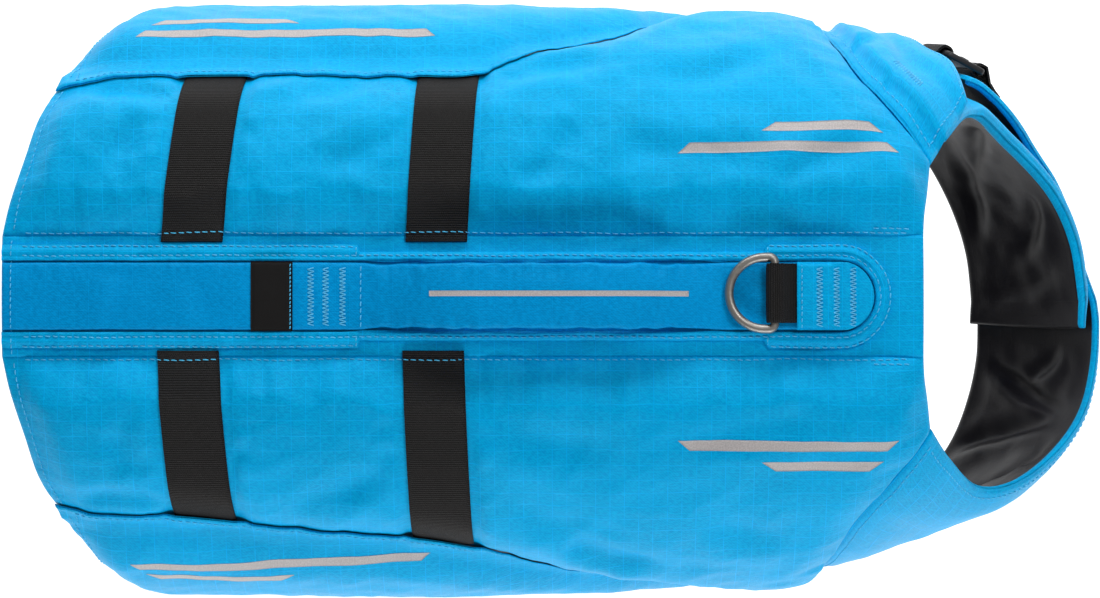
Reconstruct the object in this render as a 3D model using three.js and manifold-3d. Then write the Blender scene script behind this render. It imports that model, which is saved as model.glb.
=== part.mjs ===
// Dog life jacket, worn shape with no wearer. Millimetres, +X towards the head, +Y to the dog's left, +Z up.
// The origin is on the lining over the wearer's spine, halfway along the back.
// The foam-filled panels are laid out on two forms: the torso (x along the body, s round it from the spine) and
// the collar (t round the neck from shoulder to shoulder, w from the neck edge to the chest edge).
import * as THREE from 'three';
import Module from 'manifold-3d';
import { mergeVertices } from 'three/addons/utils/BufferGeometryUtils.js';

const wasm = await Module();
wasm.setup();

// Torso form: the inner face of the wall at stations along the body.
const TORSO_SECTIONS = [
  { x: -193, halfWidth: 110, top: -3, bottom: -206 },
  { x: -146, halfWidth: 116.5, top: -1, bottom: -220 },
  { x: -75, halfWidth: 118, top: 0, bottom: -231 },
  { x: 0, halfWidth: 118.5, top: 0, bottom: -237 },
  { x: 60, halfWidth: 117.5, top: 0, bottom: -240 },
  { x: 101, halfWidth: 116, top: 0, bottom: -240 },
  { x: 150, halfWidth: 113.5, top: 0, bottom: -238 },
  { x: 202, halfWidth: 106, top: -1, bottom: -232 },
];
const WIDEST_Z = -110;
const SQUARENESS = 2.3;

// Collar form: the inner face of the band, from the throat (t 0) to the shoulder seam (t 1). The left half's neck
// edge is drawn back by leftIn.
const COLLAR_SECTIONS = [
  { t: 0, neckX: 279, neckY: 0, neckZ: -105, chestX: 230, chestY: 0, chestZ: -150, bulge: 2.5, leftIn: 0 },
  { t: 0.15, neckX: 277.5, neckY: 28, neckZ: -103, chestX: 229, chestY: 22, chestZ: -150, bulge: 3, leftIn: 3 },
  { t: 0.3, neckX: 271, neckY: 50, neckZ: -96, chestX: 225, chestY: 42, chestZ: -149, bulge: 4, leftIn: 6.5 },
  { t: 0.45, neckX: 257, neckY: 67, neckZ: -84, chestX: 217, chestY: 62, chestZ: -147, bulge: 5, leftIn: 8 },
  { t: 0.6, neckX: 238, neckY: 79, neckZ: -66, chestX: 204, chestY: 80, chestZ: -142, bulge: 7.5, leftIn: 6 },
  { t: 0.74, neckX: 221, neckY: 80, neckZ: -49, chestX: 187, chestY: 97, chestZ: -133, bulge: 10, leftIn: 2 },
  { t: 0.87, neckX: 207, neckY: 68, neckZ: -22, chestX: 169, chestY: 110, chestZ: -120, bulge: 15, leftIn: 0 },
  { t: 1, neckX: 197, neckY: 55, neckZ: -4, chestX: 150, chestY: 119, chestZ: -106, bulge: 18.6, leftIn: 0 },
];
const COLLAR_JOIN = 0.45;
const COLLAR_RING = 165;

// Cut lines on the torso form: x along the body, s the distance round it from the spine.
const SPINE_SEAM = 25;
const NAPE_X = 190;
const TAIL_X = -193;
const HEM_S = 262;
const HEM_BACK_X = -118;
const HEM_FRONT_X = 30;
const TAIL_EDGE = [
  { x: TAIL_X, s: 25 }, { x: -189.5, s: 40 }, { x: -184, s: 60 }, { x: -180, s: 80 }, { x: -172, s: 101 },
];
const FLANK_TAIL_EDGE = [
  { x: -176, s: 93 }, { x: -173, s: 104 }, { x: -168, s: 120 }, { x: -162, s: 140 }, { x: -155, s: 160 },
  { x: -147, s: 177 }, { x: -134, s: 205 }, { x: -124, s: 235 }, { x: HEM_BACK_X, s: HEM_S },
];
const SIDE_SEAM = [
  { x: -172, left: 101, right: 101 },
  { x: -119, left: 104, right: 103 },
  { x: -66, left: 104, right: 111 },
  { x: -19, left: 104, right: 116 },
  { x: 6, left: 105, right: 123 },
  { x: 21, left: 114, right: 130 },
  { x: 46, left: 125, right: 144 },
  { x: 72, left: 141, right: 158 },
  { x: 99, left: 170, right: 173 },
  { x: 128, left: 190, right: 190 },
  { x: 150, left: 190, right: 190 },
];
const SHOULDER_EDGE = [
  { x: NAPE_X, s: 25 }, { x: 191.5, s: 34 }, { x: 194, s: 44 }, { x: 197, s: 57 }, { x: 180, s: 79 },
  { x: 165, s: 103 }, { x: 154, s: 143 }, { x: 150, s: 172 }, { x: 150, s: 190 },
];
const SHOULDER_CORNER = 3;
const ARMHOLE_EDGE = [
  { x: 128, s: 182 }, { x: 124, s: 195 }, { x: 108, s: 206 }, { x: 86, s: 219 }, { x: 62, s: 236 },
  { x: HEM_FRONT_X, s: HEM_S },
];

// Foam and cloth thicknesses, and how far from a seam the foam reaches full height.
const SEAM_GAP = 0.4;
const SEAM_EDGE = 3;
const BACK_FOAM = 10.5;
const FLANK_FOAM = 11;
const INNER_RAMP = 19;
const OUTER_RAMP = 30;
const LAP = 8;
const LAP_CLOTH = 2.8;
const LAP_DROP = 7;
const WEBBING = 1.6;
const WEBBING_WIDTH = 26;
const REST_GAP = 0.35;
const RUN_GAP = 0.6;

// Largest folds in the panels' outer faces, as soft troughs from one (x, s) to another.
const FOLDS = [
  { side: 1, x1: 12, s1: 96, x2: 60, s2: 104, depth: 2.6, width: 7 },
  { side: 1, x1: -168, s1: 92, x2: -118, s2: 84, depth: 2.2, width: 6 },
  { side: 1, x1: 60, s1: 58, x2: 128, s2: 50, depth: 1.8, width: 9 },
  { side: 1, x1: -60, s1: 50, x2: -30, s2: 62, depth: 1.8, width: 8 },
  { side: -1, x1: 46, s1: 122, x2: 88, s2: 134, depth: 2.4, width: 7 },
  { side: -1, x1: -75, s1: 86, x2: -30, s2: 66, depth: 1.8, width: 9 },
  { side: -1, x1: -166, s1: 88, x2: -128, s2: 92, depth: 2, width: 6 },
  { side: 1, x1: -96, s1: 196, x2: -30, s2: 214, depth: 2, width: 9 },
  { side: -1, x1: -80, s1: 205, x2: -10, s2: 196, depth: 2, width: 9 },
  { side: 1, x1: 70, s1: 186, x2: 112, s2: 196, depth: 2, width: 8 },
  { side: -1, x1: 62, s1: 192, x2: 108, s2: 198, depth: 2, width: 8 },
];

// Webbing on the back, from the spine seam to the flank panel's lap.
const BACK_STRAPS = [
  { name: 'strap_back_left_rear', side: 1, spineX: -115.5, seamX: -107 },
  { name: 'strap_back_left_front', side: 1, spineX: -12.3, seamX: -7.7 },
  { name: 'strap_back_right_rear', side: -1, spineX: -117, seamX: -111.4 },
  { name: 'strap_back_right_front', side: -1, spineX: -13.6, seamX: -10 },
];
const STRAP_START = 22.6;

// Handle, its edging and what is sewn over it, along the spine.
const HANDLE_HALF = 14;
const HANDLE_ENDS = { back: -190, front: 172 };
const GRIP = { back: -42, front: 104, rise: 9.6, slope: 42, thickness: 4 };
const HANDLE_FLAT = 2.6;
const PIPING = { inner: 14.6, outer: 21.6, narrow: 18.4, height: 2.3, back: -190, roundX: 158.2 };
const PATCH = { rearEnd: -45, frontStart: 126.5 };
const LABEL = { back: -90.3, front: -72.7, half: 14.2, thickness: 0.8 };
const COVER = { back: 139.5, thickness: 1.6, gap: 0.9 };

// Leash ring and its webbing loop.
const RING = { wire: 1.75, halfWidth: 15.1, reach: 19.2, corner: 2.4, droop: 5 };
const RING_BAR_X = 130.2;
const TAB = { half: 12.5, hole: 2.5, front: 154.5, leg: 1.3 };

// Belly straps and their fastened side-release buckles.
const BELLY_STRAPS = [
  { name: 'rear', x: -98, sewnX: -102 },
  { name: 'front', x: 2, sewnX: -3 },
];
const BELLY_STRAP_H = 1.4;
const BUCKLE = { width: 34, thickness: 8.4, mouth: -9, armEnd: 6, bodyEnd: 14, tangEnd: -17, arm: 4.2, armThickness: 4.4 };
const BAR = { half: 1.5, thickness: 2.8, wrap: 2.35 };
const SLOT = { width: 28, length: 4.6 };
const BUCKLE_LIFT = 7.2;
const BELLY_TAIL = { fixed: 34, adjusting: 62 };

// Collar pieces.
const TONGUE = { end: -0.07, root: 0.9, thin: 4, full: 8.5, rim: 6.8, thinFrom: 0.62, thinTo: 0.74 };
const INSET = { depth: 9, from: 0.5, to: 0.86 };
const BAND = { start: -0.992, end: 0.67, edge: 3.4, foam: 5.2, overFoam: 0.6, overEdge: 0.13 };
const STAND_OFF = { height: 4.5, from: 0.35, to: 0.62 };
const FLAP = { start: 0.992, end: 0.755, liftFrom: 0.95, liftTo: 0.92, slotFrom: 0.84, slotTo: 0.81, cloth: 3.2, foam: 4.4 };
const LOCK = { t: 0.665, w: 0.47, width: 33, length: 21, lift: 4.4 };
const UNDER_FLAP = 0.9;
const UNDER_BAND = 0.8;
const UNDER_TAB = 1.2;
const NECK_STRAP_START = 0.79;
const NECK_TAB_START = 0.53;

const COLORS = { shell: 0x0f8fd6, webbing: 0x1d1c1c, plastic: 0x2b2b2c, metal: 0x9a958e, label: 0x161514 };
const CLOTH_FINISH = { roughness: 0.62, metalness: 0 };
const WEBBING_FINISH = { roughness: 0.85, metalness: 0 };

const shell = new THREE.MeshStandardMaterial({ color: COLORS.shell, ...CLOTH_FINISH });
const webbing = new THREE.MeshStandardMaterial({ color: COLORS.webbing, ...WEBBING_FINISH });
const labelCloth = new THREE.MeshStandardMaterial({ color: COLORS.label, ...WEBBING_FINISH });
const plastic = new THREE.MeshStandardMaterial({ color: COLORS.plastic, roughness: 0.45, metalness: 0 });
const metal = new THREE.MeshStandardMaterial({ color: COLORS.metal, roughness: 0.4, metalness: 1 });

const clamp = (value, low, high) => Math.min(high, Math.max(low, value));
const ease = (value) => value * value * (3 - 2 * value);
const rise = (value, from, to) => ease(clamp((value - from) / (to - from), 0, 1));
const puff = (distance, ramp) => Math.sin((clamp(distance / ramp, 0, 1) * Math.PI) / 2);
const steps = (count) => Array.from({ length: count + 1 }, (_, i) => i / count);

// Smooth value of a table's column where its key column has the value asked for.
function column(table, key, name, at) {
  const last = table.length - 1;
  let i = 0;
  while (i < last - 1 && at > table[i + 1][key]) i += 1;
  const slope = (k) => {
    const a = table[Math.max(0, k - 1)];
    const b = table[Math.min(last, k + 1)];
    return (b[name] - a[name]) / (b[key] - a[key]);
  };
  const span = table[i + 1][key] - table[i][key];
  const f = (at - table[i][key]) / span;
  const g = f * f;
  const h = g * f;
  return (2 * h - 3 * g + 1) * table[i][name] + (h - 2 * g + f) * span * slope(i)
    + (3 * g - 2 * h) * table[i + 1][name] + (h - g) * span * slope(i + 1);
}

// Point on a smooth curve through a table's rows, at a share of its length. Corner is a row where it may turn.
function alongEdge(table, share, corner = -1) {
  const lengths = table.map((row, i) => (i ? Math.hypot(row.x - table[i - 1].x, row.s - table[i - 1].s) : 0));
  const total = lengths.reduce((sum, value) => sum + value, 0);
  let walked = 0;
  const rows = table.map((row, i) => {
    walked += lengths[i];
    return { ...row, at: walked / total };
  });
  const cornerAt = corner < 0 ? 2 : rows[corner].at;
  const part = corner < 0 ? rows : share <= cornerAt ? rows.slice(0, corner + 1) : rows.slice(corner);
  return { x: column(part, 'at', 'x', share), s: column(part, 'at', 's', share) };
}

// Torso form.
const STEP_ANGLE = Math.PI / 90;

function torsoSection(x) {
  return {
    halfWidth: column(TORSO_SECTIONS, 'x', 'halfWidth', x),
    upper: column(TORSO_SECTIONS, 'x', 'top', x) - WIDEST_Z,
    lower: WIDEST_Z - column(TORSO_SECTIONS, 'x', 'bottom', x),
  };
}

function torsoAtAngle(section, x, angle) {
  const sine = Math.sin(angle);
  const cosine = Math.cos(angle);
  const power = Math.abs(sine) ** SQUARENESS + Math.abs(cosine) ** SQUARENESS;
  const reach = power ** (-1 / SQUARENESS);
  const height = cosine >= 0 ? section.upper : section.lower;
  return new THREE.Vector3(x, section.halfWidth * reach * sine, WIDEST_Z + height * reach * cosine);
}

function torsoPoint(x, s) {
  const section = torsoSection(x);
  const target = Math.abs(s);
  let angle = 0;
  let walked = 0;
  let from = torsoAtAngle(section, x, 0);
  for (;;) {
    const to = torsoAtAngle(section, x, angle + STEP_ANGLE);
    const length = from.distanceTo(to);
    if (walked + length >= target) {
      const point = from.clone().lerp(to, (target - walked) / length);
      point.y *= s < 0 ? -1 : 1;
      return point;
    }
    walked += length;
    angle += STEP_ANGLE;
    from = to;
  }
}

const NORMAL_STEP = 1.2;

function torsoPlace(x, s, height) {
  const alongBody = torsoPoint(x + NORMAL_STEP, s).sub(torsoPoint(x - NORMAL_STEP, s));
  const roundBody = torsoPoint(x, s + NORMAL_STEP).sub(torsoPoint(x, s - NORMAL_STEP));
  const normal = alongBody.cross(roundBody).normalize();
  return torsoPoint(x, s).addScaledVector(normal, height);
}

// Collar form. Its ruling at the shoulder lies on the torso form along the shoulder seam.
function collarRuling(t, w) {
  const at = Math.abs(t);
  const read = (name) => column(COLLAR_SECTIONS, 't', name, at);
  const drawnBack = t > 0 ? read('leftIn') : 0;
  const neck = new THREE.Vector3(read('neckX') - drawnBack, read('neckY'), read('neckZ'));
  const chest = new THREE.Vector3(read('chestX') - drawnBack / 2, read('chestY'), read('chestZ'));
  const back = Math.max(0, at - 0.02);
  const front = Math.min(1, at + 0.02);
  const tangent = new THREE.Vector3(
    column(COLLAR_SECTIONS, 't', 'neckX', front) - column(COLLAR_SECTIONS, 't', 'neckX', back),
    column(COLLAR_SECTIONS, 't', 'neckY', front) - column(COLLAR_SECTIONS, 't', 'neckY', back),
    column(COLLAR_SECTIONS, 't', 'neckZ', front) - column(COLLAR_SECTIONS, 't', 'neckZ', back),
  );
  const outward = chest.clone().sub(neck).cross(tangent).normalize();
  const middle = neck.clone().add(chest).multiplyScalar(0.5).addScaledVector(outward, 2 * read('bulge'));
  const point = neck.multiplyScalar((1 - w) ** 2).addScaledVector(middle, 2 * w * (1 - w))
    .addScaledVector(chest, w * w);
  return point;
}

const SEAM_ROWS = SHOULDER_EDGE.slice(SHOULDER_CORNER);

function collarPoint(t, w) {
  const seam = alongEdge(SEAM_ROWS, w);
  const onTorso = torsoPoint(seam.x, seam.s);
  const shift = onTorso.sub(collarRuling(1, w)).multiplyScalar(rise(Math.abs(t), COLLAR_JOIN, 1));
  const point = collarRuling(t, w).add(shift);
  point.y *= t < 0 ? -1 : 1;
  return point;
}

function collarPlace(t, w, height) {
  const dt = 0.01;
  const dw = 0.01;
  const round = collarPoint(t + dt, w).sub(collarPoint(t - dt, w));
  const down = collarPoint(t, Math.min(1, w + dw)).sub(collarPoint(t, Math.max(0, w - dw)));
  const normal = down.cross(round).normalize();
  return collarPoint(t, w).addScaledVector(normal, height);
}

// Closed wall over a grid: place(u, v, face) gives the point of the inner face (0) or the outer face (1).
function wall(columns, rows, place) {
  const positions = [];
  const wide = columns.length;
  const high = rows.length;
  for (const face of [0, 1]) {
    for (const v of rows) {
      for (const u of columns) positions.push(...place(u, v, face).toArray());
    }
  }
  const at = (i, j, face) => face * wide * high + j * wide + i;
  const index = [];
  const quad = (a, b, c, d) => index.push(a, b, c, a, c, d);
  for (let j = 0; j < high - 1; j += 1) {
    for (let i = 0; i < wide - 1; i += 1) {
      quad(at(i, j, 1), at(i + 1, j, 1), at(i + 1, j + 1, 1), at(i, j + 1, 1));
      quad(at(i, j, 0), at(i, j + 1, 0), at(i + 1, j + 1, 0), at(i + 1, j, 0));
    }
  }
  for (let i = 0; i < wide - 1; i += 1) {
    quad(at(i, 0, 0), at(i + 1, 0, 0), at(i + 1, 0, 1), at(i, 0, 1));
    quad(at(i + 1, high - 1, 0), at(i, high - 1, 0), at(i, high - 1, 1), at(i + 1, high - 1, 1));
  }
  for (let j = 0; j < high - 1; j += 1) {
    quad(at(0, j + 1, 0), at(0, j, 0), at(0, j, 1), at(0, j + 1, 1));
    quad(at(wide - 1, j, 0), at(wide - 1, j + 1, 0), at(wide - 1, j + 1, 1), at(wide - 1, j, 1));
  }
  return facedOut(positions, index);
}

// Geometry from points and triangles, with its faces pointing out.
function facedOut(positions, index) {
  const read = (k) => new THREE.Vector3().fromArray(positions, 3 * k);
  let volume = 0;
  for (let k = 0; k < index.length; k += 3) {
    volume += read(index[k]).dot(read(index[k + 1]).cross(read(index[k + 2])));
  }
  if (volume < 0) {
    for (let k = 0; k < index.length; k += 3) {
      [index[k + 1], index[k + 2]] = [index[k + 2], index[k + 1]];
    }
  }
  const geometry = new THREE.BufferGeometry();
  geometry.setAttribute('position', new THREE.Float32BufferAttribute(positions, 3));
  geometry.setIndex(index);
  geometry.computeVertexNormals();
  return geometry;
}

const jacket = new THREE.Group();

function add(name, geometry, material) {
  const mesh = new THREE.Mesh(geometry, material);
  mesh.name = name;
  jacket.add(mesh);
  return mesh;
}

// Panel outlines on the torso form. Each edge is a function of a share of its length.
function seamS(x, side) {
  return column(SIDE_SEAM, 'x', side > 0 ? 'left' : 'right', clamp(x, -180, 150));
}

function blendEdges(edges, u, v) {
  const mix = (name) => {
    const ends = (1 - v) * edges.inner(u)[name] + v * edges.outer(u)[name]
      + (1 - u) * edges.rear(v)[name] + u * edges.front(v)[name];
    const corners = (1 - u) * (1 - v) * edges.inner(0)[name] + u * (1 - v) * edges.inner(1)[name]
      + (1 - u) * v * edges.outer(0)[name] + u * v * edges.outer(1)[name];
    return ends - corners;
  };
  return { x: mix('x'), s: mix('s') };
}

function backEdges(side) {
  const seam = SIDE_SEAM.map((row) => ({ x: row.x, s: side > 0 ? row.left : row.right }));
  return {
    inner: (u) => ({ x: TAIL_X + u * (NAPE_X - TAIL_X), s: SPINE_SEAM }),
    outer: (u) => alongEdge(seam, u),
    rear: (v) => alongEdge(TAIL_EDGE, v),
    front: (v) => alongEdge(SHOULDER_EDGE, v, SHOULDER_CORNER),
  };
}

function flankEdges(side) {
  const xs = steps(12).map((f) => FLANK_TAIL_EDGE[0].x + f * (ARMHOLE_EDGE[0].x - FLANK_TAIL_EDGE[0].x));
  const lap = xs.map((x) => ({ x, s: seamS(x, side) - LAP }));
  return {
    inner: (u) => alongEdge(lap, u),
    outer: (u) => ({ x: HEM_BACK_X + u * (HEM_FRONT_X - HEM_BACK_X), s: HEM_S }),
    rear: (v) => alongEdge(FLANK_TAIL_EDGE, v),
    front: (v) => alongEdge(ARMHOLE_EDGE, v),
  };
}

// Distance from a point of the form to an edge curve.
function edgeDistance(edge, x, s) {
  let best = Infinity;
  let from = edge(0);
  for (const f of steps(40).slice(1)) {
    const to = edge(f);
    const dx = to.x - from.x;
    const ds = to.s - from.s;
    const share = clamp(((x - from.x) * dx + (s - from.s) * ds) / (dx * dx + ds * ds), 0, 1);
    best = Math.min(best, Math.hypot(x - from.x - share * dx, s - from.s - share * ds));
    from = to;
  }
  return best;
}

function foldDepth(side, x, s) {
  let depth = 0;
  for (const fold of FOLDS.filter((row) => row.side === side)) {
    const dx = fold.x2 - fold.x1;
    const ds = fold.s2 - fold.s1;
    const share = clamp(((x - fold.x1) * dx + (s - fold.s1) * ds) / (dx * dx + ds * ds), 0, 1);
    const away = Math.hypot(x - fold.x1 - share * dx, s - fold.s1 - share * ds);
    depth += fold.depth * Math.exp(-((away / fold.width) ** 2));
  }
  return depth;
}

const EDGES = {
  back: { 1: backEdges(1), [-1]: backEdges(-1) },
  flank: { 1: flankEdges(1), [-1]: flankEdges(-1) },
};

// Height of the back panel's outer face: pinched at its seams, full over the foam.
function backHeight(side, x, s) {
  const edges = EDGES.back[side];
  const full = puff(s - SPINE_SEAM, INNER_RAMP) * puff(edgeDistance(edges.outer, x, s), OUTER_RAMP)
    * puff(edgeDistance(edges.rear, x, s), INNER_RAMP) * puff(edgeDistance(edges.front, x, s), INNER_RAMP);
  return SEAM_EDGE + (BACK_FOAM - foldDepth(side, x, s)) * full;
}

// The flank panel laps over the back panel's edge, with room for the webbing, then drops to the form.
function flankInner(side, x, s) {
  const past = s - seamS(x, side);
  const overStrap = WEBBING + 2 * RUN_GAP + 0.4;
  const overEdge = backHeight(side, x, seamS(x, side) - 2.5) + overStrap;
  if (past < 0) return backHeight(side, x, s - 2.5) + overStrap;
  return overEdge * (1 - clamp((past - 0.8) / (LAP_DROP - 0.8), 0, 1));
}

function flankHeight(side, x, s) {
  const edges = EDGES.flank[side];
  const past = s - seamS(x, side);
  const open = puff(edgeDistance(edges.rear, x, s), INNER_RAMP) * puff(edgeDistance(edges.outer, x, s), INNER_RAMP)
    * puff(edgeDistance(edges.front, x, s), INNER_RAMP);
  const foam = (FLANK_FOAM - foldDepth(side, x, s)) * puff(Math.max(0, past), INNER_RAMP + 6) * open;
  return flankInner(side, x, s) + LAP_CLOTH + foam;
}

// Spine panel: a flat strip of cloth between the back panels.
function buildSpine() {
  const half = SPINE_SEAM - SEAM_GAP;
  const place = (u, v, face) => torsoPlace(TAIL_X + u * (NAPE_X - TAIL_X), (2 * v - 1) * half, face * SEAM_EDGE);
  add('spine_panel', wall(steps(16), steps(6), place), shell);
}

const backPanels = {};

function buildBackPanel(side, name) {
  const edges = EDGES.back[side];
  const across = [0, 0.045, 0.1, 0.17, 0.26, 0.37, 0.5, 0.63, 0.75, 0.85, 0.93, 1];
  const place = (u, v, face) => {
    const { x, s } = blendEdges(edges, u, v);
    return torsoPlace(x, side * s, face ? backHeight(side, x, s) : 0);
  };
  const along = [0, 0.03, 0.07, ...steps(18).slice(2, -2), 0.93, 0.97, 1];
  backPanels[side] = add(name, wall(along, across, place), shell);
}

function buildFlankPanel(side, name) {
  const edges = EDGES.flank[side];
  const across = [0, 0.03, 0.058, 0.082, 0.11, 0.17, 0.27, 0.4, 0.54, 0.68, 0.81, 0.9, 0.96, 1];
  const place = (u, v, face) => {
    const { x, s } = blendEdges(edges, u, v);
    return torsoPlace(x, side * s, face ? flankHeight(side, x, s) : flankInner(side, x, s));
  };
  const along = [0, 0.035, 0.08, ...steps(14).slice(2, -2), 0.92, 0.965, 1];
  add(name, wall(along, across, place), shell);
}

// Strip of webbing: path gives its middle line as { a, h } along a form, and place puts it there.
function ribbon(path, half, thickness, place) {
  const normals = path.map((_, i) => {
    const from = path[Math.max(0, i - 1)];
    const to = path[Math.min(path.length - 1, i + 1)];
    const length = Math.hypot(to.a - from.a, to.h - from.h);
    return { a: -(to.h - from.h) / length, h: (to.a - from.a) / length };
  });
  const put = (i, v, face) => {
    const offset = (face - 0.5) * thickness;
    return place(path[i].a + normals[i].a * offset, (2 * v - 1) * half, path[i].h + normals[i].h * offset, i);
  };
  return wall(path.map((_, i) => i), steps(2), put);
}

// Height at which a strap clears a panel's outer face round one point of the form.
function restHeight(panel, x, s) {
  let height = SEAM_EDGE;
  for (const [dx, ds] of [[0, 0], [2.5, 0], [-2.5, 0], [0, 2.5], [0, -2.5]]) {
    const above = torsoPlace(x + dx, s + ds, 40);
    const inward = torsoPlace(x + dx, s + ds, 39).sub(above).normalize();
    const hits = new THREE.Raycaster(above, inward).intersectObject(panel);
    if (hits.length) height = Math.max(height, 40 - hits[0].distance);
  }
  return height + RUN_GAP;
}

function buildBackStrap({ name, side, spineX, seamX }) {
  const end = seamS(seamX, side) - LAP + 3;
  const reach = (share) => STRAP_START + share * (end - STRAP_START);
  const shares = [0, 0.035, 0.07, 0.11, 0.16, 0.22, 0.3, 0.4, 0.5, 0.6, 0.7, 0.79, 0.87, 0.94, 1];
  const place = (u, v, face) => {
    const s = reach(shares[u]);
    const x = spineX + shares[u] * (seamX - spineX) + (v - 0.5) * WEBBING_WIDTH;
    return torsoPlace(x, side * s, restHeight(backPanels[side], x, side * s) + face * WEBBING);
  };
  add(name, wall(shares.map((_, i) => i), steps(3), place), webbing);
}

// Handle: sewn flat at both ends, bowed clear of the spine between them.
function handleRise(x) {
  return GRIP.rise * rise(x, GRIP.back, GRIP.back + GRIP.slope) * (1 - rise(x, GRIP.front - GRIP.slope, GRIP.front));
}

function handleThickness(x) {
  const free = rise(x, GRIP.back - 6, GRIP.back + 8) * (1 - rise(x, GRIP.front - 8, GRIP.front + 6));
  return HANDLE_FLAT + (GRIP.thickness - HANDLE_FLAT) * free;
}

const OVER_SPINE = SEAM_EDGE + REST_GAP;

// Front end of what is as wide as the handle: half round about the edging's own centre.
function roundEnd(across) {
  return PIPING.roundX + Math.sqrt(Math.max(0, HANDLE_HALF ** 2 - across ** 2));
}

function buildHandle() {
  const stops = [HANDLE_ENDS.back, -150, -110, -70, GRIP.back - 6, GRIP.back, -34, -26, -18, -10, -2, 6, 20, 32, 44,
    56, 64, 72, 80, 88, 96, GRIP.front, GRIP.front + 6, 122, COVER.back, 150, 160, 168, HANDLE_ENDS.front];
  const place = (u, v, face) => {
    const across = (2 * v - 1) * HANDLE_HALF;
    const past = Math.max(0, stops[u] - COVER.back) / (HANDLE_ENDS.front - COVER.back);
    const x = Math.min(stops[u], COVER.back) + past * (roundEnd(across) - COVER.back);
    return torsoPlace(x, across, OVER_SPINE + handleRise(x) + face * handleThickness(x));
  };
  add('handle', wall(stops.map((_, i) => i), steps(6), place), shell);
}

// Folded edging round the handle: two rails joined by a round front end, wider where the end patches are.
function buildPiping() {
  const legX = [PIPING.back, -155, -120, -84, PATCH.rearEnd - 1, PATCH.rearEnd + 1, -12, 22, 56, 90,
    PATCH.frontStart - 1, PATCH.frontStart + 1, 142, PIPING.roundX];
  const turn = steps(10).slice(1, -1).map((f) => Math.PI * f);
  const path = [
    ...legX.map((x) => ({ x, angle: 0 })),
    ...turn.map((angle) => ({ x: PIPING.roundX, angle })),
    ...[...legX].reverse().map((x) => ({ x, angle: Math.PI })),
  ];
  const place = (u, v, face) => {
    const { x, angle } = path[u];
    const wide = x < PATCH.rearEnd || x > PATCH.frontStart;
    const radius = PIPING.inner + v * ((wide ? PIPING.outer : PIPING.narrow) - PIPING.inner);
    const height = OVER_SPINE + face * PIPING.height;
    return torsoPlace(x + radius * Math.sin(angle), radius * Math.cos(angle), height);
  };
  add('handle_edging', wall(path.map((_, i) => i), steps(1), place), shell);
}

function buildLabel() {
  const under = OVER_SPINE + HANDLE_FLAT + REST_GAP;
  const place = (u, v, face) => torsoPlace(
    LABEL.back + u * (LABEL.front - LABEL.back), (2 * v - 1) * LABEL.half, under + face * LABEL.thickness,
  );
  add('loop_label', wall(steps(2), steps(4), place), labelCloth);
}

// Webbing loop that holds the leash ring, with its legs sewn down under a cover.
const TAB_BASE = OVER_SPINE + HANDLE_FLAT + REST_GAP;
const RING_BAR_H = TAB_BASE + TAB.leg + TAB.hole;
const TAB_TOP = TAB_BASE + 2 * TAB.leg + 0.4;

function buildRingTab() {
  const outer = TAB.hole + TAB.leg;
  const outline = new THREE.Shape();
  outline.moveTo(TAB.front, TAB_BASE);
  outline.lineTo(RING_BAR_X, TAB_BASE);
  outline.absarc(RING_BAR_X, RING_BAR_H, outer, -Math.PI / 2, -Math.PI * 1.5, true);
  outline.lineTo(RING_BAR_X + 2.5, RING_BAR_H + outer - 0.4);
  outline.lineTo(RING_BAR_X + 9, TAB_TOP);
  outline.lineTo(TAB.front, TAB_TOP);
  outline.closePath();
  const hole = new THREE.Path();
  hole.absarc(RING_BAR_X, RING_BAR_H, TAB.hole, 0, Math.PI * 2, false);
  outline.holes.push(hole);
  const geometry = new THREE.ExtrudeGeometry(outline, { depth: 2 * TAB.half, bevelEnabled: false, curveSegments: 10 });
  geometry.rotateX(Math.PI / 2);
  geometry.translate(0, TAB.half, torsoPoint(RING_BAR_X, 0).z);
  add('ring_tab', geometry, webbing);
}

// Cover over the tab's legs: a cloth patch with a round front end.
function buildCover() {
  const spread = [0, 0.25, 0.49, 0.62, 0.75, 0.87, 1];
  const place = (u, v, face) => {
    const across = (2 * v - 1) * HANDLE_HALF;
    const x = COVER.back + spread[u] * (roundEnd(across) - COVER.back);
    const over = TAB_TOP + COVER.gap - (TAB_TOP - TAB_BASE) * rise(x, TAB.front + 1, TAB.front + 7);
    return torsoPlace(x, across, over + face * COVER.thickness);
  };
  add('ring_cover', wall(spread.map((_, i) => i), steps(8), place), shell);
}

// Leash ring: a closed round wire, straight at the webbing and half round beyond it.
function buildRing() {
  const path = new THREE.CurvePath();
  const half = RING.halfWidth;
  const corner = RING.corner;
  const far = RING.reach - half;
  const line = (x1, y1, x2, y2) => path.add(new THREE.LineCurve3(new THREE.Vector3(x1, y1, 0), new THREE.Vector3(x2, y2, 0)));
  const arc = (cx, cy, radius, from, to) => {
    const curve = new THREE.EllipseCurve(cx, cy, radius, radius, from, to, false);
    const points = curve.getPoints(16).map((p) => new THREE.Vector3(p.x, p.y, 0));
    path.add(new THREE.CatmullRomCurve3(points));
  };
  line(0, -(half - corner), 0, half - corner);
  arc(-corner, half - corner, corner, 0, Math.PI / 2);
  line(-corner, half, -far, half);
  arc(-far, 0, half, Math.PI / 2, Math.PI * 1.5);
  line(-far, -half, -corner, -half);
  arc(-corner, -(half - corner), corner, -Math.PI / 2, 0);
  const geometry = new THREE.TubeGeometry(path, 44, RING.wire, 8, true);
  geometry.rotateY(THREE.MathUtils.degToRad(-RING.droop));
  geometry.translate(RING_BAR_X, 0, RING_BAR_H + torsoPoint(RING_BAR_X, 0).z);
  add('leash_ring', geometry, metal);
}

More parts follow.
